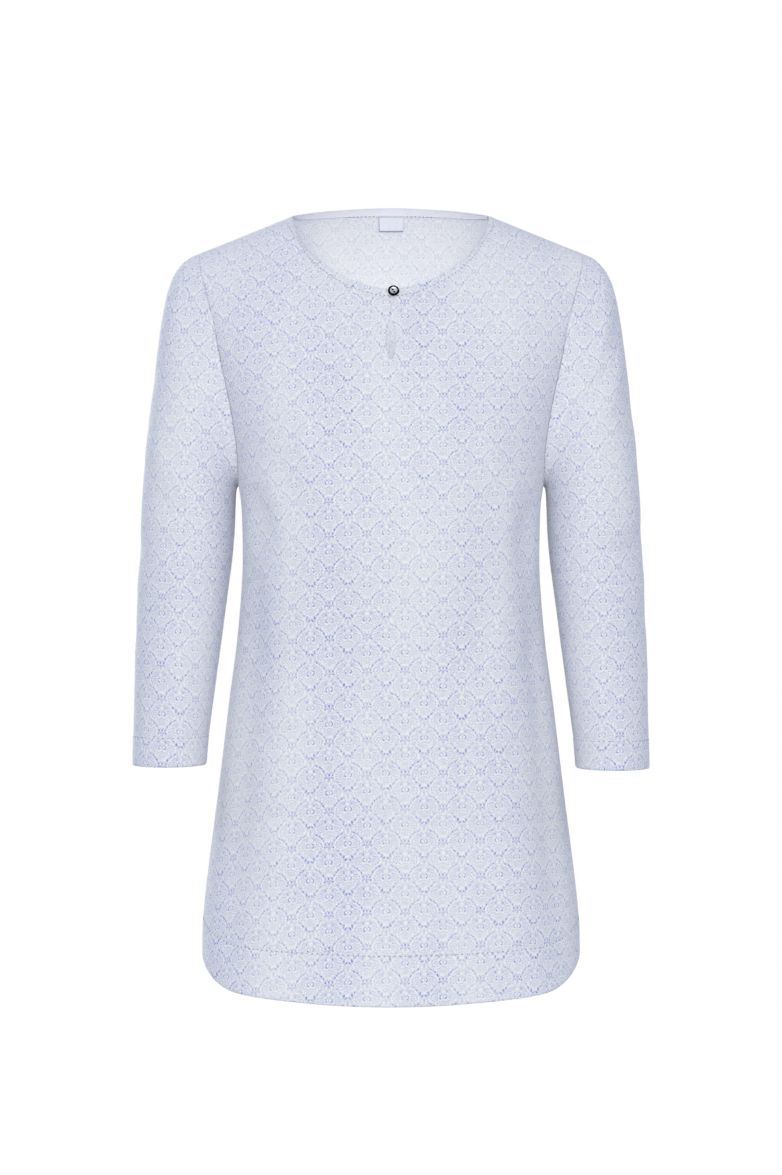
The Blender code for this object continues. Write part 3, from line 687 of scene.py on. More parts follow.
finished_panels, panel_outwards, neck_distance = {}, {}, {}
for side, grid in panels.items():
    # The columns run from -x to +x and the rows upwards, so across x along is -y.
    out = outwards_of(grid, -SIGN[side])
    hem_distance = run_lengths(grid, 0, 0)
    top_distance = -run_lengths(grid, 0, -1)
    row_run = run_lengths(grid, 1, 0)
    side_distance = np.minimum(row_run, row_run[:, -1:] - row_run)
    neck_line = top_points(side, np.linspace(-NECK_SHARE, NECK_SHARE, 400))
    neck = nearest(grid, neck_line)
    on_shoulder = np.abs(columns) > NECK_SHARE
    relief = turned_edge("hem", hem_distance, hem_deep) + turned_edge("neck", neck, NECK_DEEP)
    relief += sewn_edge(side_distance)
    relief += np.where(on_shoulder, sewn_edge(top_distance), 0.0)
    if side == "front":
        middle = np.clip(1 - (columns / NECK_SHARE) ** 2, 0, 1)
        relief += NECK_FLARE * middle * np.clip(1 - neck / NECK_FLARE_DEEP, 0, 1) ** 1.3
    # Creases fade out towards the seams and stitched edges, which hold the cloth flat.
    armhole_line = grid[underarm_row:, (0, -1)].reshape(-1, 3)
    still = ease(nearest(grid, armhole_line) / CALM["armhole"])
    still = still * ease(side_distance / CALM["side"]) * ease(neck / CALM["neck"])
    still *= CALM_HEM + (1 - CALM_HEM) * ease(hem_distance / CALM["hem"])
    still *= ease(np.where(on_shoulder, top_distance, FAR) / CALM["shoulder"])
    creases = crease_heights(panel_across[side], panel_drop[side], BODY_CREASES[side])
    finished = grid + out * (relief + still * creases)[..., None]
    if side == "front":
        open_rows = np.arange(len(rises)) > chest_row
        half = np.where(open_rows, slit_half(-grid[:, HALF_COLUMNS, 2]), 0.0)[:, None]
        sign = np.where(np.arange(len(columns)) <= HALF_COLUMNS, -1.0, 1.0)
        push = half * sign * np.clip(1 - np.abs(grid[..., 0]) / SLIT_SPREAD, 0, 1)
        finished[..., 0] += push
        slit_distance = np.where(open_rows[:, None], np.abs(grid[..., 0]), FAR)
        opened = np.clip(half / 2.0, 0.0, 1.0)
        (high, high_at, high_wide), (back, back_wide) = SLIT_RIDGE, SLIT_ROLL
        rolled = high * np.exp(-(((slit_distance - high_at) / high_wide) ** 2))
        rolled -= back * np.exp(-((slit_distance / back_wide) ** 2))
        finished += out * (opened * rolled)[..., None]
    finished[..., 1] += SIGN[side] * SEAM_APART * np.exp(-(side_distance**2))
    finished_panels[side], panel_outwards[side], neck_distance[side] = finished, out, neck
    print(side, "relief from", round(float(relief.min()), 2), "to", round(float(relief.max()), 2))

# %% Putting relief and creases on the sleeves
TOP_LINE_CALM, TOP_LINE_WIDE = 0.65, 26.0  # how much fainter creases are there, and how widely
finished_sleeves, sleeve_outwards = {}, {}
for hand, grid in sleeves.items():
    out = outwards_of(grid, {"left": -1.0, "right": 1.0}[hand])
    head_distance = run_lengths(grid, 0, 0)
    cuff_distance = -run_lengths(grid, 0, -1)
    seam_run = run_lengths(grid, 1, 0)
    seam_distance = np.minimum(seam_run, seam_run[:, -1:] - seam_run)
    relief = turned_edge("cuff", cuff_distance, CUFF_DEEP) + sewn_edge(head_distance)
    relief += sewn_edge(seam_distance)
    still = ease(head_distance / CALM["head"]) * ease(seam_distance / CALM["seam"])
    still *= CALM_CUFF + (1 - CALM_CUFF) * ease(cuff_distance / CALM["cuff"])
    # The cloth lies stretched along the top line, so creases cross it faintly.
    still *= 1 - TOP_LINE_CALM * np.exp(-((sleeve_across / TOP_LINE_WIDE) ** 2))
    creases = crease_heights(sleeve_across, -grid[..., 2], SLEEVE_CREASES[hand])
    finished_sleeves[hand] = grid + out * (relief + still * creases)[..., None]
    sleeve_outwards[hand] = out
    print(hand, "sleeve creased by", round(float(np.abs(still * creases).max()), 1), "mm")

# %% [markdown]
# ## From a grid to a cloth shell
#
# The woven cloth is about 0.3 mm thick, and double at its hems. The shell is 0.8 mm thick, so
# that its edges still show. Blender's Solidify gives a surface its thickness, and can give the
# inner side another material: a print is much paler on the wrong side of the cloth.

# %% Making a shell
SHELL = 0.8


def make_shell(name, grid, cloth, materials, flip=False, joined_rows=None, thick=SHELL):
    """A piece of cloth on a grid of points in mm, with its cloth lengths as UVs in metres.

    joined_rows is given for a panel, whose centre column is there twice: up to this row its
    two copies are one.
    """
    rows, cols = grid.shape[:2]
    index = np.arange(rows * cols).reshape(rows, cols)
    keep = np.ones(cols - 1, bool)
    if joined_rows is not None:
        centre = cols // 2 - 1
        index[:joined_rows, centre + 1] = index[:joined_rows, centre]
        keep[centre] = False
    corners = np.stack([index[:-1, :-1], index[:-1, 1:], index[1:, 1:], index[1:, :-1]], axis=-1)
    corners = corners[:, keep].reshape(-1, 4)
    used, faces = np.unique(corners, return_inverse=True)
    faces = faces.reshape(-1, 4)
    if flip:
        faces = faces[:, ::-1]
    mesh = bpy.data.meshes.new(name)
    mesh.from_pydata((grid.reshape(-1, 3)[used] * MM).tolist(), [], faces.tolist())
    layer = mesh.uv_layers.new(name="cloth")
    layer.data.foreach_set("uv", (cloth.reshape(-1, 2)[used][faces.ravel()] * MM).ravel())
    mesh.shade_smooth()
    for material in materials:
        mesh.materials.append(material)
    piece = add_object(name, mesh)
    wall = piece.modifiers.new("thickness", "SOLIDIFY")
    wall.thickness = thick * MM
    wall.offset = -1.0
    wall.material_offset = len(materials) - 1
    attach(piece, "root")
    print(f"{name}: {len(faces)} faces on its outer side")
    return piece


# %% [markdown]
# ## Materials
#
# Colours are written as sRGB hex values, as in a paint program. Blender works with linear
# light, so one function turns them. One small function adds a shader node with its settings.


# %% Helpers for materials
def colour(text):
    parts = [int(text[i:i + 2], 16) / 255 for i in (1, 3, 5)]
    linear = [c / 12.92 if c <= 0.04045 else ((c + 0.055) / 1.055) ** 2.4 for c in parts]
    return (*linear, 1.0)


def add_node(tree, kind, inputs=(), **settings):
    """Adds a node. Each input is a value or another node's output.

    Inputs are given in their order, or by name or number.
    """
    node = tree.nodes.new("ShaderNode" + kind)
    for name, value in settings.items():
        setattr(node, name, value)
    for socket, value in inputs.items() if isinstance(inputs, dict) else enumerate(inputs):
        if isinstance(value, bpy.types.NodeSocket):
            tree.links.new(value, node.inputs[socket])
        else:
            node.inputs[socket].default_value = value
    return node


def new_material(name):
    """A material with only its output: (material, tree, output)."""
    material = bpy.data.materials.new(name)
    material.use_nodes = True
    tree = material.node_tree
    tree.nodes.clear()
    return material, tree, add_node(tree, "OutputMaterial")


print("off-white is", [round(c, 3) for c in colour("#f0f1f5")])

# %% [markdown]
# ## The print
#
# The cloth is viscose printed with a small ogee repeat: rows of pointed cells, each half a step
# below its neighbours, with dashes along their edges and a small mirrored motif inside. It is
# symmetric, so only half of one cell is drawn. The coordinates are folded first: mirrored
# across, and repeated along. Then every dot is an ellipse, given by its place, size and turn.

# %% The repeat and its chart
UNIT = 0.92  # mm for each step of the chart
REPEAT_WIDE = 38.2  # steps from one column of cells to the next like it
REPEAT_TALL = 34.5

# Chart columns: across and down from the cell's middle, half length, half width, turn, ink.
EDGE_DASHES = [
    (4.5, -12.3, 1.0, 0.6, 45, 0.32),
    (6.3, -10.6, 1.5, 0.75, 48, 0.82),
    (8.0, -9.4, 0.8, 0.6, 40, 0.24),
    (9.7, -8.9, 1.1, 0.75, 70, 0.73),
    (11.4, -7.3, 0.95, 0.85, 40, 0.86),
    (12.5, -5.9, 0.8, 0.6, 50, 0.26),
    (13.5, -4.7, 1.4, 0.8, 68, 0.86),
    (14.7, -2.6, 0.8, 0.6, 75, 0.26),
    (12.2, 4.6, 0.8, 0.6, -40, 0.34),
    (10.3, 6.3, 1.3, 0.7, -28, 0.58),
    (8.9, 8.4, 0.8, 0.55, -45, 0.24),
    (7.4, 10.2, 1.6, 0.8, -48, 0.86),
    (5.7, 12.0, 0.8, 0.6, -60, 0.26),
    (4.1, 13.2, 1.7, 0.95, 78, 0.95),
    (1.8, 15.7, 1.3, 0.95, 48, 0.86),
    (3.1, 16.6, 0.8, 0.5, 80, 0.52),
    (5.6, 15.0, 1.0, 0.5, 60, 0.43),
    (19.1, -1.0, 1.2, 0.85, 90, 0.92),
    (15.7, -0.7, 1.1, 0.8, 90, 0.83),
    (16.9, 1.8, 0.9, 0.65, 60, 0.67),
    (14.8, 2.5, 0.95, 0.75, -15, 0.84),
    (17.4, -2.9, 0.8, 0.55, -60, 0.56),
    (19.1, 2.4, 0.8, 0.65, 90, 0.62),
    (17.9, 4.4, 0.8, 0.5, 50, 0.41),
]
CELL_DOTS = [
    (2.3, -1.9, 0.9, 0.5, 45, 0.95),
    (3.5, -0.2, 1.3, 0.5, 90, 0.9),
    (2.5, 1.5, 0.95, 0.6, -48, 1.15),
    (0.0, -0.3, 1.2, 0.4, 90, 0.45),
    (3.4, 5.4, 3.8, 0.42, 20, 0.3),
    (0.0, 4.1, 0.9, 0.6, 0, 0.35),
    (3.8, -6.1, 1.3, 0.9, 75, 0.62),
    (5.9, -7.3, 0.9, 0.6, 0, 0.35),
    (2.9, -9.2, 1.2, 0.5, 125, 0.45),
    (1.2, -7.9, 0.6, 0.5, 0, 0.35),
    (5.8, -4.6, 0.6, 0.5, 0, 0.4),
    (7.6, -6.0, 0.6, 0.5, 0, 0.4),
    (0.0, -14.0, 2.1, 0.5, 90, 0.45),
    (8.2, -3.3, 0.8, 0.6, 0, 0.5),
    (0.0, 9.3, 0.7, 0.6, 0, 0.2),
]

# On each side of the motif is a curl: beads of ink along two rounds, open towards the middle.
CURL_ACROSS, CURL_DOWN = 7.4, 0.5
for reach_across, reach_down, turns, dark in (
    (4.9, 4.0, (-98, -58, -30, 6, 44, 74, 112), 0.62),
    (2.3, 2.1, (-60, 15, 95, 165, 240), 0.46),
):
    for turn in turns:
        x, y = math.cos(math.radians(turn)), math.sin(math.radians(turn))
        bead = (CURL_ACROSS + reach_across * x, CURL_DOWN + reach_down * y)
        CELL_DOTS.append((*bead, 0.7, 0.5, turn + 90, dark))

# Pale lines are ellipses: middle across and down, size across and down, half width as a share
# of the size, and how strong they are.
PALE_RINGS = [
    (7.4, 0.5, 2.9, 2.6, 0.15, 1.0),
    (7.4, 0.5, 5.6, 4.6, 0.10, 1.15),
    (0.0, 8.4, 7.4, 5.3, 0.09, 1.05),
    (0.0, 8.4, 5.0, 3.2, 0.10, 0.7),
    (2.5, 1.5, 11.2, 11.2, 0.045, 0.8),
]
PALE_SPOTS = [
    (1.75, -0.1, 0.8, 1.0, 0, 1.5),
    (0.0, -6.0, 1.7, 1.9, 0, 0.6),
    (2.2, -12.6, 0.8, 1.7, 0, 0.8),
    (17.3, -0.6, 0.6, 1.2, 0, 0.7),
    (2.9, 14.7, 0.6, 1.2, 20, 0.7),
    (0.0, 16.9, 0.9, 0.8, 0, 0.7),
]
print(len(EDGE_DASHES) + len(CELL_DOTS), "marks in half a cell")


# %% Drawing marks
def ellipse_distance(tree, place, across, down, long, wide, turn=0.0):
    """How far a place is from an ellipse's middle; 1 is its edge."""
    here = add_node(
        tree, "Mapping",
        {0: place, 1: (across, down, 0), 2: (0, 0, math.radians(turn)), 3: (long, wide, 1)},
        vector_type="TEXTURE",
    )
    return add_node(tree, "VectorMath", {0: here.outputs[0]}, operation="LENGTH").outputs[1]


def marks(tree, place, chart, soft=(1.35, 0.75)):
    """The strongest ink of a chart's marks at a place."""
    ink = None
    for across, down, long, wide, turn, dark in chart:
        far = ellipse_distance(tree, place, across, down, long, wide, turn)
        value = add_node(tree, "MapRange", (far, *soft, 0.0, dark)).outputs[0]
        if ink is not None:
            value = add_node(tree, "Math", (ink, value), operation="MAXIMUM").outputs[0]
        ink = value
    return ink


def ring(tree, place, across, down, wide, tall, half_line):
    """1 on an elliptical line and 0 away from it."""
    far = ellipse_distance(tree, place, across, down, wide, tall)
    off = add_node(tree, "Math", (far, 1.0), operation="SUBTRACT").outputs[0]
    off = add_node(tree, "Math", (off,), operation="ABSOLUTE").outputs[0]
    return add_node(tree, "MapRange", (off, 1.7 * half_line, 0.5 * half_line)).outputs[0]


def make_print():
    tree = bpy.data.node_groups.new("ogee_print", "ShaderNodeTree")
    tree.interface.new_socket("Cloth", in_out="INPUT", socket_type="NodeSocketVector")
    tree.interface.new_socket("Ink", in_out="OUTPUT", socket_type="NodeSocketFloat")
    tree.interface.new_socket("Pale", in_out="OUTPUT", socket_type="NodeSocketFloat")
    given = tree.nodes.new("NodeGroupInput").outputs[0]
    result = tree.nodes.new("NodeGroupOutput")
    wide, tall = REPEAT_WIDE / 2, REPEAT_TALL / 2
    # From metres to steps of the chart, folded at the middle of each column of cells.
    steps = add_node(tree, "VectorMath", {0: given, 3: 1000 / UNIT}, operation="SCALE").outputs[0]
    parts = add_node(tree, "SeparateXYZ", {0: steps}).outputs
    across = add_node(tree, "Math", (parts[0], wide), operation="PINGPONG").outputs[0]
    down = parts[1]

    # The dashes along the cells' edges: one strip holds them all.
    low = add_node(tree, "Math", (down, 1.1 * tall, -0.9 * tall), operation="WRAP").outputs[0]
    strip = add_node(tree, "CombineXYZ", (across, low)).outputs[0]
    edge_ink = marks(tree, strip, EDGE_DASHES)

    # The motif inside is the same in every cell, so a place is measured from the middle of its
    # own cell: this column's, or the next column's, half a step lower.
    own = add_node(tree, "Math", (down, tall, -tall), operation="WRAP").outputs[0]
    lower = add_node(tree, "Math", (down, tall), operation="SUBTRACT").outputs[0]
    other = add_node(tree, "Math", (lower, tall, -tall), operation="WRAP").outputs[0]
    from_next = add_node(tree, "Math", (wide, across), operation="SUBTRACT").outputs[0]
    here = add_node(tree, "CombineXYZ", (across, own)).outputs[0]
    there = add_node(tree, "CombineXYZ", (from_next, other)).outputs[0]
    share = add_node(tree, "Math", (own,), operation="ABSOLUTE").outputs[0]
    share = add_node(tree, "Math", (share, 1 / tall), operation="MULTIPLY").outputs[0]
    share = add_node(
        tree, "Math", (across, 1 / wide, share), operation="MULTIPLY_ADD"
    ).outputs[0]
    next_cell = add_node(tree, "Math", (share, 1.0), operation="GREATER_THAN").outputs[0]
    place = add_node(
        tree, "Mix", {0: next_cell, 4: here, 5: there}, data_type="VECTOR"
    ).outputs[1]
    cell_ink = marks(tree, place, CELL_DOTS)

    ink = add_node(tree, "Math", (edge_ink, cell_ink), operation="MAXIMUM").outputs[0]
    tree.links.new(ink, result.inputs[0])

    # Unprinted lines and spots, where the pale ground shows between the tinted parts. The lines
    # are broken, as a fine line is that a roller prints round.
    breaks = add_node(tree, "TexNoise", {"Vector": given, "Scale": 480.0, "Detail": 1.0})
    shown = add_node(tree, "MapRange", {0: breaks.outputs[0], 1: 0.3, 2: 0.5}).outputs[0]
    pale = marks(tree, place, PALE_SPOTS)
    for *line, strength in PALE_RINGS:
        found = ring(tree, place, *line)
        for share in (strength, shown):
            found = add_node(tree, "Math", (found, share), operation="MULTIPLY").outputs[0]
        pale = add_node(tree, "Math", (pale, found), operation="MAXIMUM").outputs[0]
    tree.links.new(pale, result.inputs[1])
    return tree


ogee_print = make_print()
print("print group:", len(ogee_print.nodes), "nodes")

# %% [markdown]
# ## Printed viscose
#
# Viscose is a soft, matt cloth with a slight sheen at grazing angles. The ink is strongest on
# the right side and shows through faintly on the wrong side. Thread is 0.3 mm apart, too fine
# to draw, so its slubs are drawn about four times as coarse, as short uneven streaks.

# %% The cloth's two sides
UNPRINTED = "#f0f0ef"
TINTED = "#d1d6e5"
INK_BLUE = "#788cd0"


def viscose(name, strength, unprinted, tinted, ink_colour):
    """Printed viscose, right or wrong side: matt, with soft print edges and uneven threads."""
    material, tree, output = new_material(name)
    cloth = add_node(tree, "UVMap", uv_map="cloth").outputs[0]

    # The cloth is never quite straight under the printing roller: up to 0.4 mm out.
    drift = add_node(tree, "TexNoise", {"Vector": cloth, "Scale": 170.0, "Detail": 1.0}).outputs[1]
    centred = add_node(
        tree, "VectorMath", {0: drift, 1: (0.5, 0.5, 0.5)}, operation="SUBTRACT"
    ).outputs[0]
    shifted = add_node(
        tree, "VectorMath", {0: centred, 1: (0.0018, 0.0018, 0.0), 2: cloth},
        operation="MULTIPLY_ADD",
    ).outputs[0]
    pattern = tree.nodes.new("ShaderNodeGroup")
    pattern.node_tree = ogee_print
    tree.links.new(shifted, pattern.inputs[0])

    # Warp and weft slubs: noise stretched along the thread.
    warp_place = add_node(tree, "Mapping", {0: cloth, 3: (820.0, 90.0, 1.0)}).outputs[0]
    weft_place = add_node(tree, "Mapping", {0: cloth, 3: (90.0, 820.0, 1.0)}).outputs[0]
    warp = add_node(tree, "TexNoise", {"Vector": warp_place, "Scale": 1.0, "Detail": 1.0})
    weft = add_node(tree, "TexNoise", {"Vector": weft_place, "Scale": 1.0, "Detail": 1.0})
    slubs = add_node(
        tree, "Math", (warp.outputs[0], weft.outputs[0]), operation="ADD"
    ).outputs[0]

    # Ink takes unevenly where threads stand up or lie deep, and in grains of 1 to 2 mm.
    grain = add_node(tree, "TexNoise", {"Vector": cloth, "Scale": 600.0, "Detail": 3.0}).outputs[0]
    texture = add_node(tree, "Math", (slubs, 0.5, grain), operation="MULTIPLY_ADD").outputs[0]
    uneven = add_node(tree, "MapRange", {0: texture, 1: 0.78, 2: 1.22, 3: 0.0, 4: 1.9}).outputs[0]
    # The ink is made a little fainter towards the shoulders' end of the cloth: painted sheen,
    # where grazing light washes the print out.
    along = add_node(tree, "SeparateXYZ", {0: cloth}).outputs[1]
    ink_faded_by_painted_sheen = add_node(
        tree, "MapRange", {0: along, 1: -0.26, 2: 0.05, 3: 0.86 * strength, 4: 1.04 * strength}
    ).outputs[0]
    # Soft streaks along the warp, some 60 mm wide and 220 mm long, fade the print: painted light
    # and shade of soft drapes.
    streak_place = add_node(
        tree, "Mapping", {0: cloth, 1: (11.3, -4.6, 0.0), 3: (17.0, 4.5, 1.0)}
    ).outputs[0]
    streaks = add_node(tree, "TexNoise", {"Vector": streak_place, "Scale": 1.0, "Detail": 2.0})
    drape_shade_ink = add_node(
        tree, "MapRange", {0: streaks.outputs[0], 1: 0.35, 2: 0.65, 3: 1.24, 4: 0.7}
    ).outputs[0]
    ink = pattern.outputs[0]
    for share in (uneven, ink_faded_by_painted_sheen, drape_shade_ink):
        ink = add_node(tree, "Math", (ink, share), operation="MULTIPLY").outputs[0]
    # The same streaks also shift the ground's tone: painted drape light and shade.
    drape_shade_tone = add_node(
        tree, "MapRange", {0: streaks.outputs[0], 1: 0.35, 2: 0.65, 3: -0.1, 4: 0.14}
    ).outputs[0]
    pale = add_node(
        tree, "Math", (pattern.outputs[1], uneven, drape_shade_tone), operation="MULTIPLY_ADD"
    ).outputs[0]
    mottled = add_node(tree, "Math", (uneven, 0.35, pale), operation="MULTIPLY_ADD").outputs[0]
    base = add_node(
        tree, "Mix", {0: mottled, 6: colour(tinted), 7: colour(unprinted)}, data_type="RGBA"
    ).outputs[2]
    printed = add_node(
        tree, "Mix", {0: ink, 6: base, 7: colour(ink_colour)}, data_type="RGBA"
    ).outputs[2]
    bump = add_node(tree, "Bump", {"Height": slubs, "Strength": 0.25, "Distance": 0.0003})
    shader = add_node(
        tree, "BsdfPrincipled",
        {"Base Color": printed, "Roughness": 0.85, "Specular IOR Level": 0.3,
         "Sheen Weight": 0.3, "Sheen Roughness": 0.4, "Normal": bump.outputs[0]},
    )
    tree.links.new(shader.outputs[0], output.inputs[0])
    return material


printed_viscose = viscose("printed_viscose", 0.7, UNPRINTED, TINTED, INK_BLUE)
viscose_wrong_side = viscose("viscose_wrong_side", 0.46, "#eff0f1", "#dee1eb", "#a0abd6")
print("cloth materials ready")

# %% [markdown]
# ## The four pieces of cloth
#
# Each piece that is cut and sewn is its own shell, in place of its solid. The print is laid
# on so that a cell's middle is just beside the centre line, and it sags slightly to the sides,
# as cloth does that hangs from the bust and shoulders.

# %% Front and back
PRINT_ACROSS = 4.6  # mm from a column of cells to the centre line
PRINT_DROP = 312.2
PRINT_TILT = -0.02  # the rows rise a little towards the wearer's left
SAG_AT = 150.0  # mm from the centre line, where the sags below are measured
SAG_RIGHT, SAG_LEFT = 12.0, 2.0  # at chest level, on the wearer's right and left
SAG_TO_UNDERARM = -9.0  # how they change from chest level to the underarm
SAG_TO_HEM, SAG_HEM_SPAN = 10.0, 450.0  # and over this length below chest level


def print_sag(across, drop):
    """How far the print hangs lower than straight rows would, in mm."""
    arm = np.clip((drop - CHEST_DROP) / ARMHOLE_HALF, 0, 1)
    low = ease((drop - CHEST_DROP) / SAG_HEM_SPAN)
    at_chest = np.where(across < 0, SAG_RIGHT, SAG_LEFT)
    return (at_chest + SAG_TO_UNDERARM * arm + SAG_TO_HEM * low) * (across / SAG_AT) ** 2


def panel_cloth(side):
    across, drop = panel_across[side], panel_drop[side]
    along = drop - PRINT_DROP - print_sag(across, drop) - PRINT_TILT * across
    return np.stack([across + PRINT_ACROSS, along], axis=-1)


tunic_front = make_shell(
    "tunic_front", finished_panels["front"], panel_cloth("front"),
    [printed_viscose, viscose_wrong_side], joined_rows=chest_row + 1,
)
tunic_back = make_shell(
    "tunic_back", finished_panels["back"], panel_cloth("back"),
    [printed_viscose, viscose_wrong_side], flip=True, joined_rows=len(rises),
)
for piece, node in ((tunic_front, "front"), (tunic_back, "back")):
    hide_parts(node)

# %% The sleeves
SLEEVE_PRINT_ACROSS, SLEEVE_PRINT_UP = 7.0, 5.0  # where the print lies at the top line's cuff
for hand, grid in finished_sleeves.items():
    across, up = sleeve_cloth(sleeves[hand])
    cloth = np.stack([across + SLEEVE_PRINT_ACROSS, SLEEVE_PRINT_UP - up], axis=-1)
    piece = make_shell(
        "tunic_sleeve_" + hand, grid, cloth, [printed_viscose, viscose_wrong_side],
        flip=hand == "left",
    )
    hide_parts("sleeve_" + hand)

# %% [markdown]
# ## Stitches
#
# Topstitching shows as a row of short, slightly sunk beads of thread. One mesh holds a whole
# row. Each bead is a few rings, thick in the middle, laid along the stitch line.


# %% Following a line on a grid
def at_grid(grid, rows, cols):
    """Points of a grid at fractional rows and columns."""
    r = np.clip(np.floor(rows).astype(int), 0, grid.shape[0] - 2)
    c = np.clip(np.floor(cols).astype(int), 0, grid.shape[1] - 2)
    u, v = (rows - r)[:, None], (cols - c)[:, None]
    low = grid[r, c] * (1 - v) + grid[r, c + 1] * v
    high = grid[r + 1, c] * (1 - v) + grid[r + 1, c + 1] * v
    return low * (1 - u) + high * u


def contour(distance, wanted, picked):
    """The fractional row in each picked column where the distance has the wanted value."""
    rows = []
    for c in picked:
        values = distance[:, c]
        order = np.argsort(values)
        rows.append(np.interp(wanted[c], values[order], np.arange(len(values))[order]))
    return np.array(rows)


def even_places(points, pitch):
    """Fractional indices along a line of points, a pitch apart."""
    length = np.concatenate([[0], np.cumsum(np.linalg.norm(np.diff(points, axis=0), axis=1))])
    return np.interp(np.arange(pitch / 2, length[-1], pitch), length, np.arange(len(points)))


print(len(even_places(panels["front"][0], 5.0)), "steps of 5 mm along the front hem")


# %% Making a row of stitches
# Each kind of row, in mm: from stitch to stitch, a stitch's length, its radius, and how far its
# middle stands out of the cloth.
STITCHES = {
    "neck": (4.1, 1.9, 0.42, 0.2),
    "hem": (4.8, 1.9, 0.5, 0.3),
    "cuff": (4.8, 1.9, 0.4, 0.2),
    "tape": (4.1, 1.9, 0.42, 0.9),
}
BEAD_SIDES = 6
BEAD_RINGS = (-1.0, -0.75, 0.0, 0.75, 1.0)  # from one end of a stitch to the other
BEAD_END = 1.02  # just over 1, so that a bead's ends aren't points
BEAD_SINK, BEAD_FLAT = 0.7, 0.8  # its ends sink by this share of the radius; high for its width


def make_stitches(name, grid, outwards, rows, cols, kind, material):
    """Beads of thread along the line through (rows, cols) of a grid."""
    pitch, length, radius, lift = STITCHES[kind]
    line = at_grid(grid, rows, cols)
    places = even_places(line, pitch)
    row = np.interp(places, np.arange(len(rows)), rows)
    col = np.interp(places, np.arange(len(cols)), cols)
    middle = at_grid(grid, row, col)
    out = unit(at_grid(outwards, row, col))
    runs = unit(np.gradient(line, axis=0))
    steps = np.arange(len(line))
    ahead = unit(np.stack([np.interp(places, steps, runs[:, k]) for k in range(3)], axis=1))
    ahead = unit(ahead - out * np.sum(ahead * out, axis=1, keepdims=True))
    beside = np.cross(ahead, out)
    turns = np.linspace(0, 2 * math.pi, BEAD_SIDES, endpoint=False)
    verts, faces = [], []
    for p, a, b, o in zip(middle, ahead, beside, out):
        first = len(verts)
        for t in BEAD_RINGS:
            thick = radius * math.sqrt(BEAD_END - t * t)
            sink = -radius * BEAD_SINK * t * t
            for turn in turns:
                side_way = b * math.cos(turn) + o * BEAD_FLAT * math.sin(turn)
                verts.append(p + a * (t * length / 2) + o * (lift + sink) + side_way * thick)
        last = len(verts) - BEAD_SIDES
        for base in range(first, last, BEAD_SIDES):
            above = base + BEAD_SIDES
            for j in range(BEAD_SIDES):
                n = (j + 1) % BEAD_SIDES
                faces.append((base + j, base + n, above + n, above + j))
        faces.append(tuple(first + j for j in reversed(range(BEAD_SIDES))))
        faces.append(tuple(last + j for j in range(BEAD_SIDES)))
    mesh = bpy.data.meshes.new(name)
    mesh.from_pydata((np.array(verts) * MM).tolist(), [], faces)
    mesh.shade_smooth()
    mesh.materials.append(material)
    piece = add_object(name, mesh)
    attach(piece, "root")
    print(f"{name}: {len(middle)} stitches")
    return piece


print("kinds of stitch row:", ", ".join(STITCHES))


# %% Thread
def thread(name, shade):
    """Spun polyester sewing thread: matt, with a fine twist that breaks up its light."""
    material, tree, output = new_material(name)
    place = add_node(tree, "TexCoord").outputs["Object"]
    twist = add_node(tree, "TexNoise", {"Vector": place, "Scale": 2600.0, "Detail": 1.0})
    lit = add_node(tree, "Math", (twist.outputs[0], 0.25), operation="MULTIPLY").outputs[0]
    varied = add_node(
        tree, "Mix", {0: lit, 6: colour(shade), 7: colour("#ffffff")}, data_type="RGBA"
    ).outputs[2]
    bump = add_node(
        tree, "Bump", {"Height": twist.outputs[0], "Strength": 0.5, "Distance": 0.0002}
    )
    shader = add_node(
        tree, "BsdfPrincipled",
        {"Base Color": varied, "Roughness": 0.6, "Sheen Weight": 0.2,
         "Normal": bump.outputs[0]},
    )
    tree.links.new(shader.outputs[0], output.inputs[0])
    return material


neck_thread = thread("grey_beige_thread", "#8b8488")
hem_thread = thread("pale_blue_grey_thread", "#777da0")
violet_thread = thread("violet_thread", "#514b78")
lavender_thread = thread("lavender_thread", "#e2e3f0")
threads = (neck_thread, hem_thread, violet_thread, lavender_thread)
print("threads:", ", ".join(spun.name for spun in threads))

# %% The rows of stitches
NECK_STITCHED, HEM_STITCHED = 0.535, 0.985  # the shares of a panel that the rows run to
neck_columns = np.where(np.abs(columns) <= NECK_STITCHED)[0]
body_columns = np.where(np.abs(columns) <= HEM_STITCHED)[0]
stitch_rows = []
for side in SIGN:
    grid, out = finished_panels[side], panel_outwards[side]
    rows = contour(neck_distance[side], np.full(len(columns), NECK_DEEP), neck_columns)
    stitch_rows.append(make_stitches(
        "neck_stitches_" + side, grid, out, rows, neck_columns.astype(float), "neck", neck_thread
    ))
    rows = contour(run_lengths(grid, 0, 0), hem_deep, body_columns)
    stitch_rows.append(make_stitches(
        "hem_stitches_" + side, grid, out, rows, body_columns.astype(float), "hem", hem_thread
    ))
for hand, grid in finished_sleeves.items():
    picked = np.arange(1, grid.shape[1] - 1)
    rows = contour(-run_lengths(grid, 0, -1), np.full(grid.shape[1], CUFF_DEEP), picked)
    stitch_rows.append(make_stitches(
        "cuff_stitches_" + hand, grid, sleeve_outwards[hand], rows, picked.astype(float), "cuff",
        hem_thread,
    ))
print(len(stitch_rows), "rows of stitches")

# %% [markdown]
# ## Neck tape
#
# A plain woven tape covers the seam inside the back neck, from one shoulder to the other. It
# is laid on the back's own grid, a little in from the cloth, and its lower edge is stitched
# down.

# %% Tape and label cloth
TAPE_WIDTH = 8.0
TAPE_IN = 1.0  # from the back's outer side to the tape
TAPE_THICK = 0.9
TAPE_REACH = 0.484  # the share of the back's half width that it runs to on each side
TAPE_STEPS = 120
TAPE_STITCH_ROW = 7.4  # the row of the tape's own grid, counted from its top, that is stitched


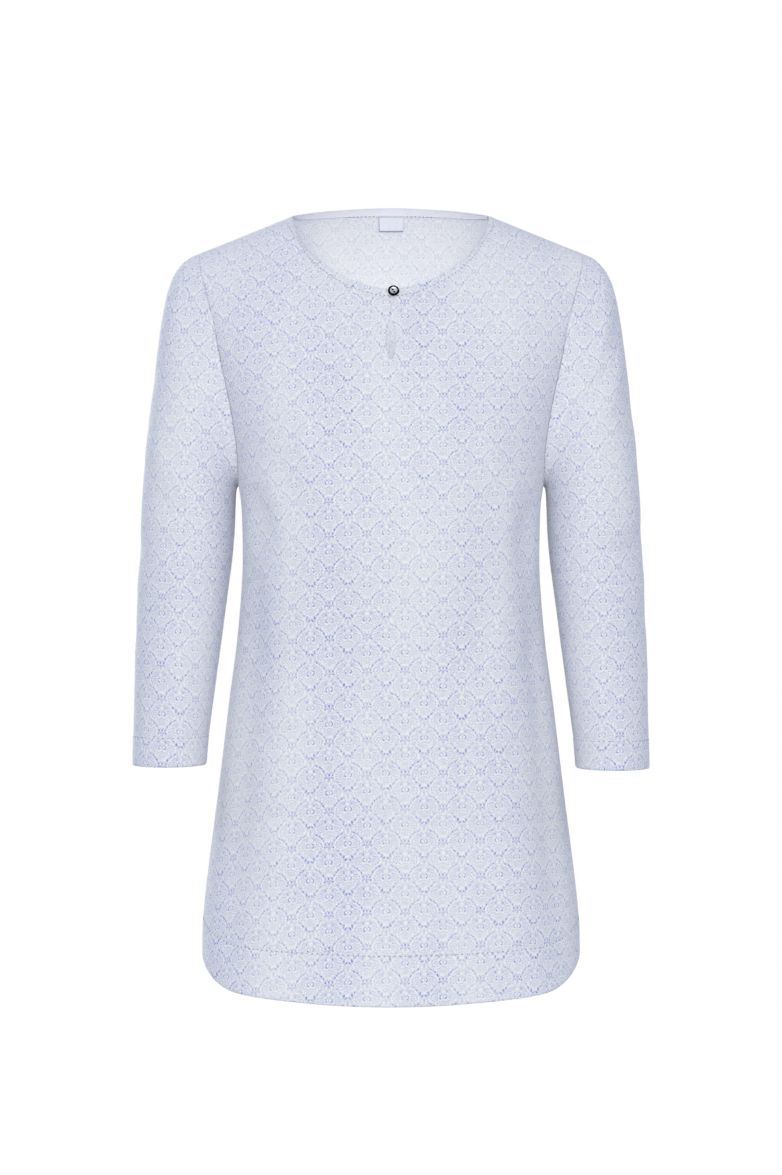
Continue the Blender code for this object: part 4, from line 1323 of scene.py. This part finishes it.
def woven_ribs(name, shade, shadow, across, along, strength, edge=None):
    """A plain woven narrow fabric: matt, with fine ribs of its own thread spacing in mm.

    edge is (its x, its y, colour): beyond these places that colour is painted on as shadow.
    """
    material, tree, output = new_material(name)
    cloth = add_node(tree, "UVMap", uv_map="cloth").outputs[0]
    place = add_node(tree, "Mapping", {0: cloth, 3: (1000 / across, 1000 / along, 1.0)})
    ribs = add_node(tree, "TexNoise", {"Vector": place.outputs[0], "Scale": 1.0, "Detail": 1.0})
    tone = add_node(tree, "MapRange", {0: ribs.outputs[0], 1: 0.3, 2: 0.7}).outputs[0]
    mixed = add_node(
        tree, "Mix", {0: tone, 6: colour(shadow), 7: colour(shade)}, data_type="RGBA"
    ).outputs[2]
    # Beyond the edge's places the colour turns darker: painted shadow along the edge.
    if edge:
        from_x, from_y, painted_shadow_colour = edge
        x, y = add_node(tree, "SeparateXYZ", (cloth,)).outputs[:2]
        beyond_x = add_node(tree, "Math", (x, from_x), operation="LESS_THAN").outputs[0]
        beyond_y = add_node(tree, "Math", (y, from_y), operation="GREATER_THAN").outputs[0]
        beyond = add_node(
            tree, "Math", (beyond_x, beyond_y), operation="MAXIMUM"
        ).outputs[0]
        mixed = add_node(
            tree, "Mix", {0: beyond, 6: mixed, 7: colour(painted_shadow_colour)}, data_type="RGBA"
        ).outputs[2]
    bump = add_node(
        tree, "Bump", {"Height": ribs.outputs[0], "Strength": strength, "Distance": 0.0003}
    )
    shader = add_node(
        tree, "BsdfPrincipled",
        {"Base Color": mixed, "Roughness": 0.8, "Sheen Weight": 0.1,
         "Normal": bump.outputs[0]},
    )
    tree.links.new(shader.outputs[0], output.inputs[0])
    return material


lavender_tape = woven_ribs("lavender_cotton_tape", "#f0f0f8", "#e6e7f3", 0.9, 3.0, 0.5)
# The label's darker line at one end and along its lower edge is painted shadow.
satin_label = woven_ribs(
    "woven_satin_label", "#eceef7", "#e2e5f1", 3.5, 0.7, 0.3, (-0.0119, 0.0133, "#8d93b4")
)

back_rows = run_lengths(finished_panels["back"], 0, -1)


def inside_back(cols, below, depth):
    """Points inside the back: below the neck edge and in from its outer side, in mm."""
    grid, out = finished_panels["back"], panel_outwards["back"]
    line = []
    for col in cols:
        c = int(np.clip(np.floor(col), 0, grid.shape[1] - 2))
        lengths = back_rows[:, c] * (1 - (col - c)) + back_rows[:, c + 1] * (col - c)
        row = np.interp(-max(below, 0.0), lengths, np.arange(len(lengths)))
        here = at_grid(grid, np.array([row]), np.array([col]))[0]
        away = unit(at_grid(out, np.array([row]), np.array([col])))[0]
        if below < 0:
            up = unit(grid[-1, c] - grid[-2, c])
            here = here - up * below
        line.append(here - away * depth)
    return np.array(line)


print("narrow fabrics:", lavender_tape.name, "and", satin_label.name)


# %% The tape
tape_shares = np.linspace(-TAPE_REACH, TAPE_REACH, TAPE_STEPS + 1)
tape_columns = np.interp(tape_shares, columns, np.arange(len(columns)))
# Each line along the tape: how far it is below the neck edge, and how far its rim is rounded.
tape_profile = [(-0.8, 0.35), (-0.5, 0.1), (0.4, 0.0), (2.2, 0.0), (4.0, 0.0), (5.8, 0.0),
                (7.2, 0.0), (7.8, 0.1), (8.0, 0.3)]
tape_grid = np.stack(
    [inside_back(tape_columns, below, TAPE_IN + rounded) for below, rounded in tape_profile]
)
tape_run = run_lengths(tape_grid, 1, TAPE_STEPS // 2)[0]
tape_below = np.array([below for below, _ in tape_profile])
tape_cloth = np.stack(np.broadcast_arrays(tape_run, tape_below[:, None]), axis=-1)
back_neck_tape = make_shell(
    "back_neck_tape", tape_grid, tape_cloth, [lavender_tape], thick=TAPE_THICK
)
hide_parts("neck_tape")

# The tape's lower edge is stitched down: beside the label in violet thread, where the label is
# sewn in with it, and in pale thread from there to the shoulders. Each row runs from one of
# the tape's steps to another.
tape_facing = -outwards_of(tape_grid, 1.0)
for name, first, last, sewn_with in (
    ("tape_stitches_far_left", 8, 41, lavender_thread),
    ("tape_stitches_left", 41, 54, violet_thread),
    ("tape_stitches_right", 66, 79, violet_thread),
    ("tape_stitches_far_right", 79, 112, lavender_thread),
):
    run = np.arange(first, last + 1).astype(float)
    stitch_rows.append(make_stitches(
        name, tape_grid, tape_facing, np.full(len(run), TAPE_STITCH_ROW), run, "tape", sewn_with
    ))

# %% [markdown]
# ## Label
#
# A small satin label hangs under the tape at centre back. A darker line along one end and its
# lower edge is painted shadow. A real one would carry a name and size; this one is left blank.

# %% The blank label
LABEL_HEIGHT = 14.0
LABEL_THICK = 0.5
LABEL_IN = 2.6  # from the back's outer side to the label
LABEL_GAP = 0.3  # from the tape's lower edge to the label
LABEL_RIM, LABEL_RIM_WIDE = 0.25, 0.5  # how far its upper and lower edges are rounded
LABEL_BULGE, LABEL_SWING = 0.5, 0.9  # how far its middle stands out, and its lower edge swings
LABEL_HALF = [0.0, 1.5, 3.0, 4.5, 6.0, 7.5, 9.0, 10.5, 11.6, 12.3, 12.5]
label_across = np.concatenate([-np.array(LABEL_HALF[:0:-1]), LABEL_HALF])
label_down = np.concatenate([[0.0, 0.3], np.linspace(1.2, 12.8, 9), [13.7, 14.0]])
top_run = run_lengths(finished_panels["back"], 1, HALF_COLUMNS)[-1]
label_columns = np.interp(label_across, top_run, np.arange(len(columns)))
label_lines = []
for down in label_down:
    share = down / LABEL_HEIGHT
    rim = LABEL_RIM * math.exp(-((min(down, LABEL_HEIGHT - down) / LABEL_RIM_WIDE) ** 2))
    sway = LABEL_BULGE * math.sin(share * math.pi) + LABEL_SWING * share**2
    below = TAPE_WIDTH + LABEL_GAP + down
    line = inside_back(label_columns, below, 0.0)
    inwards = inside_back(label_columns, below, 1.0) - line
    label_lines.append(line + inwards * (LABEL_IN + sway - rim))
label_cloth = np.stack(np.broadcast_arrays(label_across, label_down[:, None]), axis=-1)
blank_label = make_shell(
    "blank_label", np.array(label_lines), label_cloth, [satin_label], thick=LABEL_THICK
)
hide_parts("label")

# %% [markdown]
# ## Button
#
# The button is a small pressed metal one, about 11 mm across: a dark nickel-plated rim round a
# lighter dished centre with two holes, sewn on at the head of the slit. It is turned from a
# profile, and two dents are pressed into the dish for the holes.

# %% The button's form
BUTTON_X = 2.4
BUTTON_BELOW_EDGE = 2.9
BUTTON_PROUD = 0.9  # its back stands this far out from the plain form, on the flared edge
HOLE_X, HOLE_Y = 0.8, -1.25  # from the button's middle; the other hole is opposite
HOLE_RADIUS = 1.1
HOLE_DEEP = 1.3
HOLE_REACH = 2.8  # the dents are pressed into the dish within this radius
HOLE_OVER, HOLE_SOFT = 0.18, 0.3  # a dent starts this far outside its hole, and falls over this
DISH_RADIUS = 3.4
BUTTON_SIDES = 64

BUTTON_PROFILE = [
    (0.0, 1.75), (0.3, 1.75), (0.6, 1.76), (0.9, 1.77), (1.2, 1.79), (1.5, 1.82), (1.9, 1.87),
    (2.3, 1.95), (2.7, 2.06), (3.1, 2.2), (3.45, 2.36), (3.65, 2.5), (3.75, 2.7), (3.95, 2.9),
    (4.25, 3.0), (4.6, 2.98), (4.9, 2.85), (5.15, 2.6), (5.3, 2.25), (5.35, 1.8), (5.3, 1.35),
    (5.1, 0.85), (4.6, 0.45), (3.4, 0.15), (1.8, 0.0), (0.0, 0.0),
]


def from_hole(x, y):
    """The distance to the nearer hole's middle."""
    return min(math.hypot(x - HOLE_X, y - HOLE_Y), math.hypot(x + HOLE_X, y + HOLE_Y))


def button_mesh():
    turns = np.linspace(0, 2 * math.pi, BUTTON_SIDES, endpoint=False)
    verts, faces = [(0.0, 0.0, BUTTON_PROFILE[0][1])], []
    for r, h in BUTTON_PROFILE[1:-1]:
        for turn in turns:
            x, y = r * math.cos(turn), r * math.sin(turn)
            in_dish = h > BUTTON_PROFILE[0][1] - 0.05 and r < HOLE_REACH
            pressed = float(ease((HOLE_RADIUS + HOLE_OVER - from_hole(x, y)) / HOLE_SOFT))
            dent = HOLE_DEEP * pressed * in_dish
            verts.append((x, y, h - dent))
    verts.append((0.0, 0.0, 0.0))
    n, rings = BUTTON_SIDES, len(BUTTON_PROFILE) - 2
    for j in range(n):
        k = (j + 1) % n
        faces.append((0, 1 + j, 1 + k))
        for i in range(rings - 1):
            a = 1 + i * n
            faces.append((a + j, a + n + j, a + n + k, a + k))
        last = 1 + (rings - 1) * n
        faces.append((last + j, len(verts) - 1, last + k))
    mesh = bpy.data.meshes.new("metal_button")
    mesh.from_pydata([tuple(c * MM for c in v) for v in verts], [], faces)
    for face in mesh.polygons:
        x, y, z = np.mean([verts[i] for i in face.vertices], axis=0)
        # Faces in the holes get the near-black metal: painted shade.
        if from_hole(x, y) < HOLE_RADIUS and z > 0.5:
            face.material_index = 2
        elif math.hypot(x, y) < DISH_RADIUS and z > 1.0:
            face.material_index = 1
    mesh.shade_smooth()
    return mesh


print(len(BUTTON_PROFILE), "points in the button's profile")


# %% The button's metals
def plated(name, light, dark, rough, at_edge=(1.0, 1.0, 1.0, 1.0)):
    """Electroplated pressed brass: a metal with faint polishing marks and a darker patina.

    at_edge is the tint of what it mirrors at a grazing angle, where a dark plating stays dark.
    """
    material, tree, output = new_material(name)
    place = add_node(tree, "TexCoord").outputs["Object"]
    marks_here = add_node(tree, "TexNoise", {"Vector": place, "Scale": 900.0, "Detail": 3.0})
    tone = add_node(tree, "MapRange", {0: marks_here.outputs[0], 1: 0.35, 2: 0.65}).outputs[0]
    mixed = add_node(
        tree, "Mix", {0: tone, 6: colour(dark), 7: colour(light)}, data_type="RGBA"
    ).outputs[2]
    uneven = add_node(
        tree, "MapRange",
        {0: marks_here.outputs[0], 1: 0.3, 2: 0.7, 3: rough - 0.06, 4: rough + 0.1},
    ).outputs[0]
    bump = add_node(
        tree, "Bump", {"Height": marks_here.outputs[0], "Strength": 0.08, "Distance": 0.0002}
    )
    shader = add_node(
        tree, "BsdfPrincipled",
        {"Base Color": mixed, "Metallic": 1.0, "Roughness": uneven, "Specular Tint": at_edge,
         "Normal": bump.outputs[0]},
    )
    tree.links.new(shader.outputs[0], output.inputs[0])
    return material


dark_nickel = plated("dark_nickel_plate", "#101012", "#060607", 0.3, (0.05, 0.05, 0.05, 1.0))
bright_nickel = plated("brushed_nickel_dish", "#ffffff", "#e6e7ea", 0.42)
# The holes' faces are near-black: painted shade, in place of holes that go through the button.
painted_hole_shade = plated("hole_shadow", "#040404", "#020202", 0.8, (0.02, 0.02, 0.02, 1.0))

turned_button = button_mesh()
for metal in (dark_nickel, bright_nickel, painted_hole_shade):
    turned_button.materials.append(metal)
metal_button = add_object("metal_button", turned_button)

# It is seated square to the cloth a few rows below the neck edge, at the head of the slit.
SEAT_ROW = -6
centre_line = panels["front"][:, HALF_COLUMNS]
down_way = unit(centre_line[SEAT_ROW] - centre_line[-1])
facing = panel_outwards["front"][SEAT_ROW, HALF_COLUMNS]
seat = centre_line[-1] + down_way * BUTTON_BELOW_EDGE + facing * BUTTON_PROUD
seat = seat + np.array([BUTTON_X, 0.0, 0.0])
button_x, button_z = Vector((1.0, 0.0, 0.0)), Vector(facing)
button_axes = Matrix((button_x, button_z.cross(button_x), button_z)).transposed().to_4x4()
metal_button.matrix_world = Matrix.Translation(Vector(seat) * MM) @ button_axes
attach(metal_button, "root")
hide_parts("button")
print("button seated at", [round(float(c), 1) for c in seat])

# %% [markdown]
# ## What is cloth
#

# %% The sheets of cloth
# The tape is 8 mm wide.
print("six sheets of cloth: four shells, the tape and the label")

# %% [markdown]
# ## Floor, light and world
#
# The garment is shown in a bright, even studio: a white surround fills in from all sides, and
# a large soft light stands beside the camera, so surfaces that turn away get a little darker.

# %% Floor
FLOOR_HEIGHT = -1.05
FLOOR_RADIUS = 1.1


def pale_floor():
    material, tree, output = new_material("white_studio_floor")
    place = add_node(tree, "TexCoord").outputs["Object"]
    speckle = add_node(tree, "TexNoise", {"Vector": place, "Scale": 60.0, "Detail": 2.0})
    tone = add_node(
        tree, "Mix", {0: speckle.outputs[0], 6: colour("#f7f7f8"), 7: colour("#fcfcfc")},
        data_type="RGBA",
    ).outputs[2]
    # It is shown a little over-exposed, as a white studio floor is.
    is_seen = add_node(tree, "LightPath").outputs["Is Camera Ray"]
    glow = add_node(tree, "Math", (is_seen, 0.36), operation="MULTIPLY").outputs[0]
    painted = add_node(
        tree, "BsdfPrincipled",
        {"Base Color": tone, "Roughness": 0.9, "Emission Color": (1, 1, 1, 1),
         "Emission Strength": glow},
    )
    # It fades out towards its rim.
    clear = add_node(tree, "BsdfTransparent")
    far = add_node(tree, "VectorMath", {0: place}, operation="LENGTH").outputs[1]
    fade = add_node(
        tree, "MapRange", (far, 0.35 * FLOOR_RADIUS, 0.95 * FLOOR_RADIUS)
    ).outputs[0]
    mixed = add_node(tree, "MixShader", (fade, painted.outputs[0], clear.outputs[0]))
    tree.links.new(mixed.outputs[0], output.inputs[0])
    return material


floor_turns = np.linspace(0, 2 * math.pi, 96, endpoint=False)
floor_rim = [(FLOOR_RADIUS * math.cos(t), FLOOR_RADIUS * math.sin(t), 0.0) for t in floor_turns]
floor_disc = bpy.data.meshes.new("studio_floor")
floor_disc.from_pydata(floor_rim, [], [tuple(range(len(floor_rim)))])
floor_disc.materials.append(pale_floor())
studio_floor = add_object("studio_floor", floor_disc, (0.0, 0.0, FLOOR_HEIGHT))
print("floor", FLOOR_HEIGHT, "m below the neck points")


# %% Lights
MIDDLE = (0.0, 0.0, -0.36)


def soft_light(name, place, size, power, shade="#ffffff"):
    """A soft round lamp of this size and power, aimed at the garment's middle."""
    lamp = bpy.data.lights.new(name, "AREA")
    lamp.shape = "DISK"
    lamp.size = size
    lamp.energy = power
    lamp.color = colour(shade)[:3]
    light = add_object(name, lamp, place)
    aim = Vector(MIDDLE) - Vector(place)
    light.rotation_euler = aim.to_track_quat("-Z", "Y").to_euler()
    light.visible_camera = False


soft_light("by_the_camera", (0.0, -2.6, 0.25), 1.4, 37.8, "#fffaef")
soft_light("left_edge", (-2.2, 0.35, 1.3), 1.2, 9.5, "#eef3ff")
soft_light("right_edge", (2.2, 0.35, 1.3), 1.2, 7.0, "#eef3ff")
soft_light("behind", (-1.4, 2.3, 0.5), 1.2, 26.0)

# Thin cloth lets light through, so the inside of a real tunic glows. Two weak lamps inside
# stand for that light.
for name, place, power in (
    ("glow_neck", (0.0, 0.01, -0.13), 0.11),
    ("glow_waist", (0.0, 0.0, -0.34), 0.1),
):
    lamp = bpy.data.lights.new(name, "POINT")
    lamp.energy = power
    lamp.shadow_soft_size = 0.04
    add_object(name, lamp, place).visible_camera = False
print("lights:", ", ".join(sorted(lamp.name for lamp in bpy.data.lights)))

# %% World
world = bpy.data.worlds.new("white_surround")
bpy.context.scene.world = world
world.use_nodes = True
sky = world.node_tree
sky.nodes.clear()
seen = add_node(sky, "Background", ((1.0, 1.0, 1.0, 1.0), 1.0)).outputs[0]
way = add_node(sky, "SeparateXYZ", (add_node(sky, "TexCoord").outputs["Generated"],))
# It is a little brighter from above than from below.
from_above = add_node(sky, "MapRange", (way.outputs[2], -1.0, 1.0, 0.45, 0.57)).outputs[0]
lighting = add_node(sky, "Background", (colour("#e4ecff"), from_above)).outputs[0]
is_seen = add_node(sky, "LightPath").outputs["Is Camera Ray"]
surround = add_node(sky, "MixShader", (is_seen, lighting, seen)).outputs[0]
sky.links.new(surround, add_node(sky, "OutputWorld").inputs[0])
bpy.context.scene.view_settings.view_transform = "Standard"
print("world and lights are in place")
